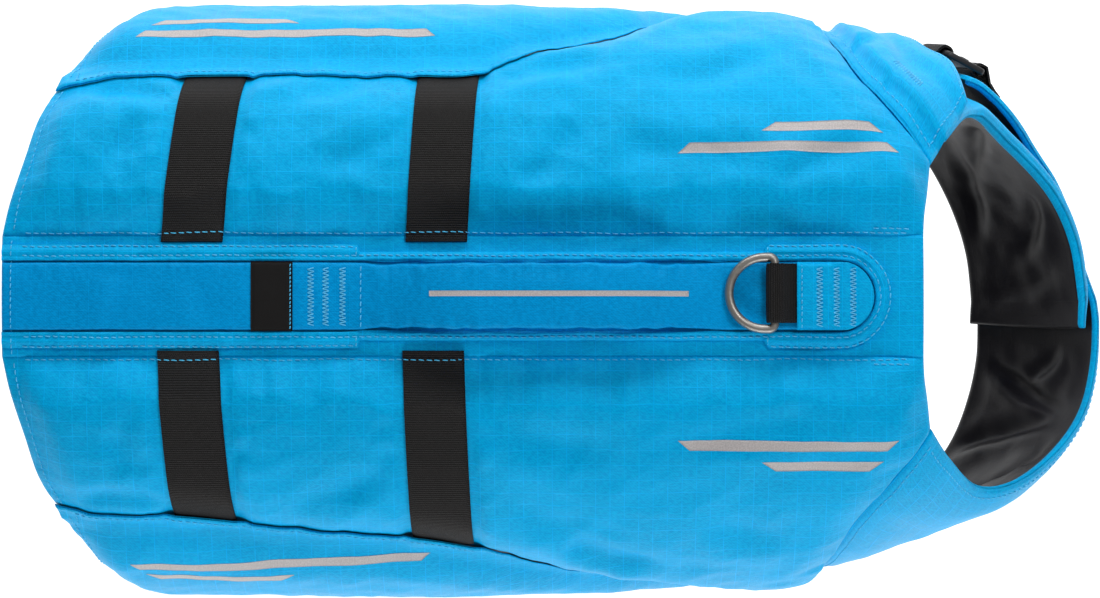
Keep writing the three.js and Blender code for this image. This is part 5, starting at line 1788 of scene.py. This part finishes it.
@dataclass
class CollarPiece:
    """What the collar's pieces share: a padded wall over the collar form with its rims turned over."""

    collar: CollarForm
    node: str = ""
    rim_radius: float = 3.2
    binding: float = 2.4
    rims: tuple[int, int, int, int] = (0, 0, 0, 1)
    seed: int = 51

    def __post_init__(self) -> None:
        """Makes the noise."""
        self.noise = Noise(self.seed)

    def reach(self, t: Array) -> tuple[Array, Array]:
        """Shares of the collar's width where the piece starts and stops, at places round the neck."""
        raise NotImplementedError

    def inner(self, t: Array, w: Array) -> Array:
        """Height of the inner face."""
        raise NotImplementedError

    def outer(self, t: Array, w: Array) -> Array:
        """Height of the outer face."""
        raise NotImplementedError

    def spot(self, t: Array, w: Array) -> tuple[Array, Array]:
        """Millimetres round the neck and across the collar."""
        return t * self.collar.RING, w * self.collar.ruling(t)

    def folds(self, t: Array, w: Array) -> Array:
        """How far the loose lining stands into the neck opening."""
        return np.zeros(np.shape(t))

    def make(self, start: Array, end: Array) -> Piece:
        """Makes the piece.

        Args:
            start: place round the neck of its first cut edge, over the shares of its width.
            end: place of its last cut edge.

        Returns:
            The piece.
        """
        f = spaced(self.collar.RING * abs(float(np.mean(end - start))), 1.7)[:, None]
        t = start + f * (end - start)
        low, high = self.reach(t)
        w = low + self.shares[None] * (high - low)
        across = self.collar.ruling(t)
        rim = np.minimum((w - low) * across, (high - w) * across)
        ends = np.minimum(f, 1 - f) * np.abs(end - start) * self.collar.RING
        rim = np.minimum(rim, ends)
        outer, inner = self.outer(t, w), self.inner(t, w)
        radius = np.minimum(self.rim_radius, 0.47 * (outer - inner))
        outer = outer - turned(rim, radius)
        inner = inner + turned(rim, radius) - self.folds(t, w) * rise(rim, 3, 14)
        coords = np.stack(self.spot(t, w), -1)
        neck = (w - low) * across
        middle = (neck[1:, 1:] + neck[:-1, :-1] + neck[1:, :-1] + neck[:-1, 1:]) / 4
        mesh = Mesh()
        wall(mesh, self.collar.place(t, w, outer), self.collar.place(t, w, inner), coords,
             bound=middle < self.binding, rims=self.rims)
        return cloth(mesh, self.node, 0.6)

    @property
    def shares(self) -> Array:
        """Steps across the piece."""
        return spaced(100, 1.7, (0, 0.3, 0.7, 1.2, 1.8, 2.4, 3.2, 4.2, 5.4))


@dataclass
class Tongue(CollarPiece):
    """Padded tongue from the left shoulder, inside the band."""

    node: str = "collar_tongue"
    rims: tuple[int, int, int, int] = (1, 0, 0, 1)
    seed: int = 51

    END, ROOT, THIN, FULL, RIM_HEIGHT = -0.07, 0.9, 4.0, 8.5, 6.8
    FOLDS = (
        Crease(138, 40, 92, 56, 3.2, 6, 4), Crease(128, 12, 104, 40, 2.6, 5, 3), Crease(98, 8, 70, 44, 2.6, 5, -3),
        Crease(84, 50, 30, 60, 2.0, 6, 3), Crease(54, 12, 20, 36, 2.0, 5, 3), Crease(12, 14, 4, 60, 1.6, 5, 2),
    )  # fmt: skip

    def reach(self, t: Array) -> tuple[Array, Array]:
        """Nearly the whole width."""
        return 0 * t, 0 * t + 0.985

    def inset(self, t: Array) -> Array:
        """How far below the form the tongue lies, so that it fits inside the band."""
        return 9 * (1 - rise(t, 0.5, 0.86))

    def body(self, t: Array, w: Array) -> Array:
        """Thickness of the tongue."""
        foam = (1 - rise(t, 0.62, 0.74)) * rise(t, self.END, 0.1)
        thick = self.THIN + (self.FULL - self.THIN) * foam
        share = np.maximum(1 - puff(w, 0.16), 1 - puff(1 - w, 0.16))
        return thick - np.maximum(0, thick - self.RIM_HEIGHT) * share

    def inner(self, t: Array, w: Array) -> Array:
        """Height of the lining."""
        return -self.inset(t)

    def outer(self, t: Array, w: Array) -> Array:
        """Height of the outer face."""
        return self.body(t, w) - self.inset(t)

    def folds(self, t: Array, w: Array) -> Array:
        """Big soft diagonal folds of the lining."""
        x, s = self.spot(t, w)
        broad = 0.9 * self.noise(x / 34, s / 22) + 0.4 * self.noise(x / 12 + 9, s / 9)
        return 0.8 + broad + sum(c.relief(x, s) for c in self.FOLDS)

    def build(self) -> Piece:
        """Makes the tongue."""
        w = self.shares[None]
        return self.make(self.END + 0.015 * (w - 0.5) ** 2, self.ROOT + 0 * w)


@dataclass
class Band(CollarPiece):
    """Padded band from the right shoulder round the throat, over the tongue."""

    tongue: Tongue = field(kw_only=True)
    node: str = "collar_band"
    seed: int = 57

    START, END = -1.003, 0.67
    FOLDS = (
        Crease(-49, 10, -28, 62, 2.8, 4.5, 3), Crease(-52, 12, -80, 78, 3.2, 5, -3),
        Crease(-86, 20, -108, 82, 2.6, 4.5, 3), Crease(-120, 14, -138, 88, 3.0, 6, 4),
        Crease(-18, 20, -34, 40, 1.8, 4, 2), Crease(-66, 6, -98, 40, 2.2, 5, 3),
        Crease(-136, 50, -156, 110, 2.4, 6, -3),
    )  # fmt: skip

    def reach(self, t: Array) -> tuple[Array, Array]:
        """Leaves the tongue's neck edge free and narrows to a rounded tip."""
        end = rise(t, 0.5, self.END) * 0.09
        return 0.13 * rise(t, -0.06, 0.14) + end, 1 - end * 1.2

    def inner(self, t: Array, w: Array) -> Array:
        """Height of the inner face, over the tongue where that lies inside."""
        end = self.tongue.END
        at = np.maximum(t, end)
        over = np.maximum(0, self.tongue.outer(at, w) + 0.8)
        off = 4.5 * rise(t, 0.35, 0.62)
        return over * rise(t, -0.2, end) + off

    def outer(self, t: Array, w: Array) -> Array:
        """Height of the outer face."""
        right = 1 - rise(t, -0.2, 0)
        seam = 0.55 + 0.45 * puff((t + 1) * self.collar.RING, 14)
        puffed = puff(w, 0.2) * (0.75 * right + (1 - 0.75 * right) * puff(1 - w, 0.2)) * seam
        x, s = self.spot(t, w)
        small = 0.5 * self.noise(x / 22, s / 16) + 0.25 * self.noise(x / 9, s / 7 + 5)
        small = small + puckers(self.noise, x - self.START * self.collar.RING, s, 0.8, 9, 10) * right
        return self.inner(t, w) + 3.4 + puffed * (0.6 + 4.6 * right + small * (0.4 + 0.6 * right))

    def folds(self, t: Array, w: Array) -> Array:
        """Folds of the right half's lining."""
        x, s = self.spot(t, w)
        broad = 0.8 * self.noise(x / 36, s / 24) + 0.4 * self.noise(x / 13 + 9, s / 10)
        return (0.8 + broad + sum(c.relief(x, s) for c in self.FOLDS)) * (1 - rise(t, -0.16, -0.08))

    def build(self) -> Piece:
        """Makes the band."""
        w = self.shares[None]
        return self.make(self.START + 0 * w, self.END + 0 * w)


@dataclass
class Flap(CollarPiece):
    """Padded flap of the left shoulder over the neck strap's sewn end."""

    node: str = "collar_flap"
    rim_radius: float = 1.8
    seed: int = 63

    START, END = 1.003, 0.755
    UNDER = 0.9
    FOLDS = (
        Crease(4, 70, 18, 62, 1.6, 3, 2), Crease(3, 36, 17, 40, 1.4, 3, -2), Crease(24, 24, 32, 60, 1.0, 5, 4),
    )  # fmt: skip

    def reach(self, t: Array) -> tuple[Array, Array]:
        """The whole width."""
        return 0 * t, 0 * t + 1

    def end(self, w: Array) -> Array:
        """Place round the neck of the flap's free edge, with round corners."""
        return self.END + 0.05 * (1 - puff(w, 0.22)) + 0.06 * (1 - puff(1 - w, 0.3))

    def inner(self, t: Array, w: Array) -> Array:
        """Height of the inner face, over the tongue and the webbing."""
        lifted = (Tongue.THIN + self.UNDER) * (1 - rise(t, 0.92, 0.95))
        return lifted + (1.6 + self.UNDER + 2.2) * (1 - rise(t, 0.8, 0.85))

    def outer(self, t: Array, w: Array) -> Array:
        """Height of the outer face."""
        x, s = (1 - t) * self.collar.RING, w * self.collar.ruling(t)
        foam = (0.7 + 0.3 * puff(x, 12)) * puff(w, 0.2) * (0.7 + 0.3 * puff(1 - w, 0.12))
        small = 0.7 * self.noise(x / 13, s / 17) + puckers(self.noise, x, s, 1.2, 9, 9)
        small = small + sum(c.relief(x, s) for c in self.FOLDS)
        return self.inner(t, w) + 3.0 + foam * (7.0 * (0.75 + 0.25 * rise(t, 0.8, 0.86)) + small)

    def build(self) -> Piece:
        """Makes the flap."""
        w = self.shares[None]
        return self.make(self.START + 0 * w, self.end(w))


def strip(mesh: Mesh, chain: Array, width: float, thickness: float, place: Callable[[Array, Array, Array], Array],
          columns: int = 13) -> float:
    """Adds webbing whose middle line is a chain of distances and heights.

    Args:
        mesh: where it goes.
        chain: distances along the body and heights above it.
        width: width of the webbing.
        thickness: its thickness.
        place: gives points at distances along, places across and heights.
        columns: points across it.

    Returns:
        The webbing's length.
    """
    across = np.linspace(-0.5, 0.5, columns) * width
    along = np.gradient(chain, axis=0)
    normals = np.stack([-along[:, 1], along[:, 0]], -1) / np.linalg.norm(along, axis=1, keepdims=True)
    half = thickness / 2 * (0.6 + 0.4 * np.sqrt(np.maximum(0, 1 - (2 * np.abs(across) / width) ** 10)))

    def face(side: int) -> Array:
        """Grid of points of one face."""
        a, h = (chain[:, k, None] + side * normals[:, k, None] * half for k in (0, 1))
        return place(a, across + 0 * a, h)

    walked = walk(chain)
    wall(mesh, face(1), face(-1), np.stack(np.meshgrid(walked, across, indexing="ij"), -1), (0, 0))
    return float(walked[-1])


@dataclass
class NeckClosure:
    """Webbing from under the flap, the ladder lock it turns round, and the loop that holds the lock to the band."""

    collar: CollarForm
    band: Band

    T, W, WIDTH, LENGTH, LIFT = 0.665, 0.47, 33.0, 21.0, 4.4
    WEBBING, WEBBING_WIDTH = 1.6, 26.0
    STRAP_START, TAB_START = 0.79, 0.53

    def __post_init__(self) -> None:
        """Finds the lock's frame."""
        self.bar = self.LENGTH / 2 - Buckle.BAR_HALF
        self.radius = Buckle.WRAP + self.WEBBING / 2
        self.height = float(self.band_height(np.array(self.T))) + self.LIFT
        ends = self.collar.place(np.array([self.T - 0.05, self.T + 0.05]), np.array([self.W, self.W]))
        self.per_turn = float(np.linalg.norm(ends[1] - ends[0])) / 0.1
        spots = self.beside(np.zeros(4), np.array([0, 0, 5.0, -5.0]), self.height + np.array([0, 5.0, 0, 0]))
        outward = unit(spots[1] - spots[0])
        self.frame = axes(unit(np.cross(outward, spots[2] - spots[3])), outward, spots[0])

    def band_height(self, t: Array) -> Array:
        """Height of the band's outer face beside the lock, with no small relief."""
        w = self.W + 0 * t
        return self.band.inner(t, w) + 3.4 + 0.6 * puff(w, 0.2) * puff(1 - w, 0.2)

    def beside(self, a: Array, across: Array, h: Array) -> Array:
        """Points at a distance towards the flap from the lock's middle, a place across and a height."""
        t = self.T + a / self.per_turn
        ruling = np.linalg.norm(self.collar.place(t, 0 * t + 0.25) - self.collar.place(t, 0 * t + 0.75), axis=-1) * 2
        return self.collar.place(t, self.W + across / ruling, h)

    def place(self, a: Array, across: Array, h: Array) -> Array:
        """Points level with the lock near it, and following the collar further off."""
        flat = np.stack([a, -across, h - self.height], -1) @ self.frame[:3, :3].T + self.frame[:3, 3]
        share = rise(np.abs(a), self.bar + self.radius + 0.9, self.bar + self.radius + 7)[..., None]
        return flat * (1 - share) + self.beside(a, across, h) * share

    def build_lock(self) -> Piece:
        """The ladder lock: a plate with two slots, a raised grip edge and ribbed bars."""
        end, half = self.LENGTH / 2, self.WIDTH / 2
        bar, slot = 2 * Buckle.BAR_HALF, Buckle.SLOT_LENGTH
        slots = [
            rounded(rectangle(end - bar - slot, end - bar, Buckle.SLOT_WIDTH / 2), 0.9),
            rounded(rectangle(bar - end, bar - end + slot, Buckle.SLOT_WIDTH / 2 - 0.5), 0.9),
        ]
        made = Moulding()
        made.plate(rounded(rectangle(-end, end, half), 3.4, 6), -1.4, 1.4, 0.9, slots)
        middle = end - bar - slot - 0.4
        made.plate(rounded(rectangle(-middle + 0.6, middle, half - 2.2), 1.0), 1.2, 2.0, 0.35)
        return made.build("ladder_lock", self.frame)

    def weave(self, node: str, chain: Array, rests_on: Sequence[str]) -> Piece:
        """Makes one of the two pieces of webbing along a chain of distances and heights."""
        mesh = Mesh()
        length = strip(mesh, chain, self.WEBBING_WIDTH, self.WEBBING, self.place)
        return webbing(mesh, node, self.WEBBING_WIDTH, length)

    def turn(self, sign: int) -> list[Spot]:
        """Half turn round one of the lock's bars, from below to above."""
        angle = math.pi * np.linspace(0, 1, 13)
        return [(sign * (self.bar - self.radius * math.sin(a)), self.height - self.radius * math.cos(a)) for a in angle]

    def build_strap(self) -> Piece:
        """Webbing from under the flap round the lock's near bar and back."""
        start = (self.STRAP_START - self.T) * self.collar.RING
        edge = (Flap.END - self.T) * self.collar.RING
        low = self.height - self.radius
        base = Tongue.THIN + Flap.UNDER + self.WEBBING / 2
        way_in = Edge([(start, base), (edge, base + 0.3), (edge - 2.5, base + 0.5 * (low - base)), (self.bar + 2, low)])
        way_out = Edge([
            (self.bar + 1, low + 2 * self.radius), (self.bar + 2.6, low + self.radius + 2.2),
            (self.bar + 4.2, low + self.WEBBING + 0.3),
        ])  # fmt: skip
        chain = np.concatenate([way_in.line(24), np.array(self.turn(1)), way_out.line(12)])
        return self.weave("strap_neck", chain, ["ladder_lock"])

    def build_tab(self) -> Piece:
        """Webbing loop sewn to the band's end, round the lock's far bar."""
        start = (self.TAB_START - self.T) * self.collar.RING
        low = self.height - self.radius
        a = np.linspace(start, -self.bar - 5, 14)
        sewn = np.stack([a, self.band_height(self.T + a / self.collar.RING) + 1.2 + self.WEBBING / 2], -1)
        above = sewn[:-2][::-1] + (0, self.WEBBING + 0.6)
        near = [[(-self.bar - 2, low)], self.turn(-1), [(-self.bar - 2, low + 2 * self.radius)]]
        chain = np.concatenate([sewn, *(np.array(n) for n in near), above])
        return self.weave("strap_neck_tab", chain, ["ladder_lock", "collar_band"])


@dataclass
class Sewing:
    """Stitches over the finished pieces."""

    torso: Ground
    collar: Ground

    STEP = 1.3
    HEM = 4.2

    def line(self, thread: Thread, ground: Ground, line: Array | Sequence[Spot], **stitch: float) -> None:
        """Sews along a chain of form coordinates."""
        line = np.asarray(line, float)
        at = walk(line)
        scale = 1.0 if ground is self.torso else self.collar.form.RING
        count = max(3, int(at[-1] * scale / self.STEP))
        f = np.linspace(0, at[-1], count)
        u, v = (np.interp(f, at, line[:, k]) for k in (0, 1))
        v = v + 0.5 / scale * thread.sway(f * scale / 24, v * scale / 9)
        points, normals = ground.lie(u, v, 0.05)
        thread.run(points, normals, **stitch)

    def tack(self, thread: Thread, ground: Ground, start: Spot, end: Spot, width: float,
             pitch: float) -> None:
        """Sews a zigzag bar on the topmost piece."""

        def spot(u: Array, v: Array) -> tuple[Array, Array]:
            """Form coordinates of a place given in millimetres."""
            if ground is self.torso:
                return u, v
            t = u / self.collar.form.RING
            return t, v / self.collar.form.ruling(t)

        thread.zigzag(
            lambda u, v: ground.lie(*spot(u, v), 0.05)[0],
            lambda u, v: ground.heights(*spot(u, v))[1],
            start, end, width, pitch,
        )  # fmt: skip

    def sew_spine(self, spine: Spine) -> Piece:
        """Seams along the spine, the edging, the label, the cover and the handle's tacks."""
        thread = Thread(5)
        for side in (1, -1):
            self.line(thread, self.torso, [(-186, 26.3 * side), (187, 26.3 * side)], pitch=3.3)
            self.line(thread, self.torso, [(172, 28.0 * side), (188, 28.0 * side)], pitch=3.0)
        for radius, first, last in ((16.8, -187, None), (20.7, -187, -46.5), (20.9, 128, None)):
            rails = [np.array([(first, radius), (last or spine.round_x, radius)], float)]
            if last is None:
                angle = np.linspace(0, math.pi, 40)
                turn = np.stack([spine.round_x + radius * np.sin(angle), radius * np.cos(angle)], -1)
                rails = [np.concatenate([rails[0], turn, rails[0][::-1] * (1, -1)])]
            else:
                rails.append(rails[0] * (1, -1))
            for rail in rails:
                self.line(thread, self.torso, rail, pitch=3.1)
        for x in (-46.0, 127.5):
            for side in (1, -1):
                self.line(thread, self.torso, [(x, 17.0 * side), (x, 21.0 * side)], pitch=2.0, gap=0.5)
        self.line(thread, self.torso, [(-191.6, -24), (-191.6, 24)], pitch=2.9)
        self.line(thread, self.torso, [(141.5, -13.2), (141.5, 13.4)], pitch=2.6)
        self.line(thread, self.torso, [(-44.0, -13), (-44.0, 13)], pitch=2.8)
        self.line(thread, self.torso, [(-73.7, -13.6), (-73.7, 13.6)], pitch=1.7, gap=0.35)
        for x in (-65.1, -58.8, -51.7):
            self.tack(thread, self.torso, (x, -12.1), (x, 11.7), 3.0, 1.5)
        for x in (148.9, 156.1, 163.2):
            self.tack(thread, self.torso, (x, -12.3), (x, 11.4), 2.9, 1.5)
        return thread.build("spine_stitches")

    def sew_panels(self, panels: Sequence[BackPanel]) -> Piece:
        """Tail hems, side laps, shoulder seams and flank hems."""
        thread = Thread(9)
        for panel in panels:
            side = (1, panel.side.value)
            tail = shifted(panel.lines["rear"], -4.6)[4:-8]
            self.line(thread, self.torso, tail * side, pitch=2.9)
            x = np.linspace(-167, 4, 60)
            lap = np.stack([x, panel.seam_s(x) - LAP + 2.2], -1)
            self.line(thread, self.torso, lap * side, pitch=3.0)
            tick = np.array([(-166.5, 96.0), (-166.5, 103.5)])
            self.line(thread, self.torso, tick * side, pitch=2.0, gap=0.4)
            hem = Edge(FlankPanel.TAIL_EDGE).line(70)
            self.line(thread, self.torso, shifted(hem, -self.HEM)[3:-3] * side, pitch=3.1)
            belly = np.array([(-112, HEM_S - self.HEM), (27, HEM_S - self.HEM)])
            self.line(thread, self.torso, belly * side, pitch=3.1)
            hole = Edge(FlankPanel.ARMHOLE_EDGE).line(60)
            self.line(thread, self.torso, shifted(hole, -self.HEM)[3:-3] * side, pitch=3.1)
        return thread.build("panel_stitches")

    def sew_collar(self, flap: Flap) -> Piece:
        """Topstitching of the flap, the shoulder seams and the band, and the closure's tacks."""
        thread = Thread(15)
        w = np.linspace(0.05, 0.95, 50)
        self.line(thread, self.collar, np.stack([flap.end(w) + 0.02, w], -1), pitch=3.0)
        self.line(thread, self.collar, [(Flap.END + 0.05, 0.035), (0.97, 0.035)], pitch=3.0)
        self.line(thread, self.collar, [(Flap.END + 0.07, 0.96), (0.97, 0.96)], pitch=3.0)
        for t in (0.975, -0.975):
            self.line(thread, self.collar, [(t, 0.03), (t, 0.97)], pitch=3.1)
        self.line(thread, self.collar, [(-0.96, 0.97), (0.55, 0.97)], pitch=3.1)
        self.line(thread, self.collar, [(-0.96, 0.035), (-0.08, 0.035)], pitch=3.1)
        self.tack(thread, self.collar, (147, 23), (146, 42), 4.2, 1.5)
        return thread.build("collar_stitches")


@dataclass(frozen=True)
class Bar:
    """Plain reflective bar printed on a panel: a straight strip with slanted ends."""

    name: str
    x1: float
    s1: float
    x2: float
    s2: float
    width: float
    slant: float = 0.0

    LIFT = 0.14

    def build(self, ground: Ground) -> Piece:
        """Makes the print as a thin layer on the topmost piece."""
        length = math.hypot(self.x2 - self.x1, self.s2 - self.s1)
        steps, rows = int(length / 1.2) + 2, int(self.width / 0.9) + 3
        f, g = np.meshgrid(np.linspace(0, 1, steps), np.linspace(-0.5, 0.5, rows), indexing="ij")
        dx, ds = (self.x2 - self.x1) / length, (self.s2 - self.s1) / length
        shift = g * self.slant * (1 - 2 * f)
        x = self.x1 + f * (self.x2 - self.x1) + dx * shift - ds * g * self.width
        s = self.s1 + f * (self.s2 - self.s1) + ds * shift + dx * g * self.width
        height = smoothed(smoothed(ground.heights(x, s)[0], 0, 1), 1, 1)
        mesh = Mesh()
        outer, inner = (ground.form.place(x, s, height + lift) for lift in (self.LIFT, -0.05))
        wall(mesh, outer, inner, np.stack([x, s], -1), (0, 0))
        piece = mesh.build(f"reflective_{self.name}", [Look.REFLECTIVE])
        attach(piece, JACKET)
        return piece


BARS = (
    Bar("handle", -15.0, 0.9, 94.0, 0.9, 2.2),
    Bar("left_rear_long", -141.0, 122.0, -16.0, 122.0, 4.0, 4.0),
    Bar("left_rear_short", -134.0, 130.5, -76.0, 130.5, 4.0, 6.0),
    Bar("right_rear_long", -143.0, -124.0, -18.0, -124.0, 4.0, -4.0),
    Bar("right_rear_short", -136.0, -132.5, -78.0, -132.5, 4.0, -6.0),
    Bar("left_front_long", 92.0, 59.0, 180.0, 59.0, 4.0, 5.0),
    Bar("left_front_short", 128.0, 67.5, 173.0, 67.5, 4.0, 6.0),
    Bar("right_front_long", 92.0, -59.0, 180.0, -59.0, 4.0, -5.0),
    Bar("right_front_short", 128.0, -67.5, 173.0, -67.5, 4.0, -6.0),
)


@dataclass
class Studio:
    """Plain pale floor, soft lights and a camera above."""

    floor_z: float = -262.0
    camera_height: float = 1900.0
    target: tuple[float, float, float] = (35.7, -1.3, 10.0)
    lean: float = 33.0
    lens: float = 148.0

    def build_camera(self) -> None:
        """Long lens from above with the wearer's head to the right."""
        camera = bpy.data.cameras.new("camera")
        camera.lens, camera.sensor_width = self.lens, 36.0
        camera.clip_start, camera.clip_end = 0.1, 20.0
        camera.dof.use_dof = False
        holder = bpy.data.objects.new("camera", camera)
        x, y, z = self.target
        holder.location = Vector((x, y - self.lean, z + self.camera_height)) * MM
        holder.rotation_euler = (math.atan2(self.lean, self.camera_height), 0, 0)
        bpy.context.scene.collection.objects.link(holder)
        bpy.context.scene.camera = holder

    def light(self, name: str, place: tuple[float, float, float], size: Spot, power: float) -> None:
        """Adds a soft rectangular light that points at the jacket."""
        data = bpy.data.lights.new(name, "AREA")
        data.shape, data.size, data.size_y, data.energy = "RECTANGLE", size[0], size[1], power
        holder = bpy.data.objects.new(name, data)
        holder.location = place
        aim = Vector((0.03, 0, -0.05)) - Vector(place)
        holder.rotation_euler = aim.to_track_quat("-Z", "Y").to_euler()
        bpy.context.scene.collection.objects.link(holder)

    def build_lights(self) -> None:
        """Weak light overhead and strong ones at both sides."""
        self.light("overhead", (0.9, 0.9, 1.8), (0.7, 0.7), 15)
        self.light("side_left", (-0.05, 1.7, 0.55), (1.6, 0.5), 22)
        self.light("side_right", (0.1, -1.7, 0.55), (2.0, 0.4), 19)
        world = bpy.data.worlds.new("studio")
        world.use_nodes = True
        world.node_tree.nodes["Background"].inputs[0].default_value = (1, 1, 1, 1)
        world.node_tree.nodes["Background"].inputs[1].default_value = 0.24
        bpy.context.scene.world = world

    def build_floor(self) -> None:
        """White floor, lit through so that shadows on it stay pale."""
        data = bpy.data.meshes.new("floor")
        data.from_pydata([(4 * x, 4 * y, self.floor_z * MM) for x, y in rectangle(-1, 1, 1)], [], [(0, 1, 2, 3)])
        made = bpy.data.materials.new("floor")
        made.use_nodes = True
        shader = made.node_tree.nodes["Principled BSDF"]
        shader.inputs["Base Color"].default_value = (0.5, 0.5, 0.5, 1)
        shader.inputs["Roughness"].default_value = 0.9
        shader.inputs["Emission Color"].default_value = (1, 1, 1, 1)
        shader.inputs["Emission Strength"].default_value = 0.9
        data.materials.append(made)
        floor = bpy.data.objects.new("floor", data)
        bpy.context.scene.collection.objects.link(floor)


def main() -> None:
    """Builds the jacket and its studio."""
    logging.basicConfig(level=logging.INFO, format="%(message)s")
    torso = TorsoForm()
    collar = CollarForm(torso)
    spine = Spine(torso)
    backs = [BackPanel(torso, Side.LEFT, CREASES_LEFT), BackPanel(torso, Side.RIGHT, CREASES_RIGHT, seed=17)]
    pieces: list[Piece] = []

    def keep(piece: Piece) -> Piece:
        """Logs a finished piece."""
        log.info("%s: %d faces", piece.name, len(piece.data.polygons))
        pieces.append(piece)
        return piece

    keep(spine.build_panel())
    for back in backs:
        keep(back.build())
    under = Ground(torso, pieces)
    for back in backs:
        for strap in (s for s in BACK_STRAPS if s.side is back.side):
            keep(build_back_strap(back, strap, under))
    for back in backs:
        keep(FlankPanel(torso, back.side, back=back).build())
    for build in (spine.build_edging, spine.build_handle, spine.build_label, spine.build_tab, spine.build_cover):
        keep(build())
    body = list(pieces)
    keep(spine.build_ring())
    for name, x, sewn_x in (("rear", -98.0, -102.0), ("front", 2.0, -3.0)):
        buckle = Buckle(torso, name, x, sewn_x)
        keep(buckle.build_body())
        keep(buckle.build_tang())
        keep(buckle.build_strap(Side.LEFT))
        keep(buckle.build_strap(Side.RIGHT))
    tongue = Tongue(collar)
    band = Band(collar, tongue=tongue)
    flap = Flap(collar)
    neck = [keep(part.build()) for part in (tongue, band, flap)]
    closure = NeckClosure(collar, band)
    for build in (closure.build_lock, closure.build_strap, closure.build_tab):
        keep(build())
    sewing = Sewing(Ground(torso, body), Ground(collar, neck))
    keep(sewing.sew_spine(spine))
    keep(sewing.sew_panels(backs))
    keep(sewing.sew_collar(flap))
    for bar in BARS:
        keep(bar.build(sewing.torso))
    studio = Studio()
    studio.build_camera()
    studio.build_lights()
    studio.build_floor()
    bpy.context.scene.view_settings.view_transform = "Standard"


if __name__ == "__main__":
    main()
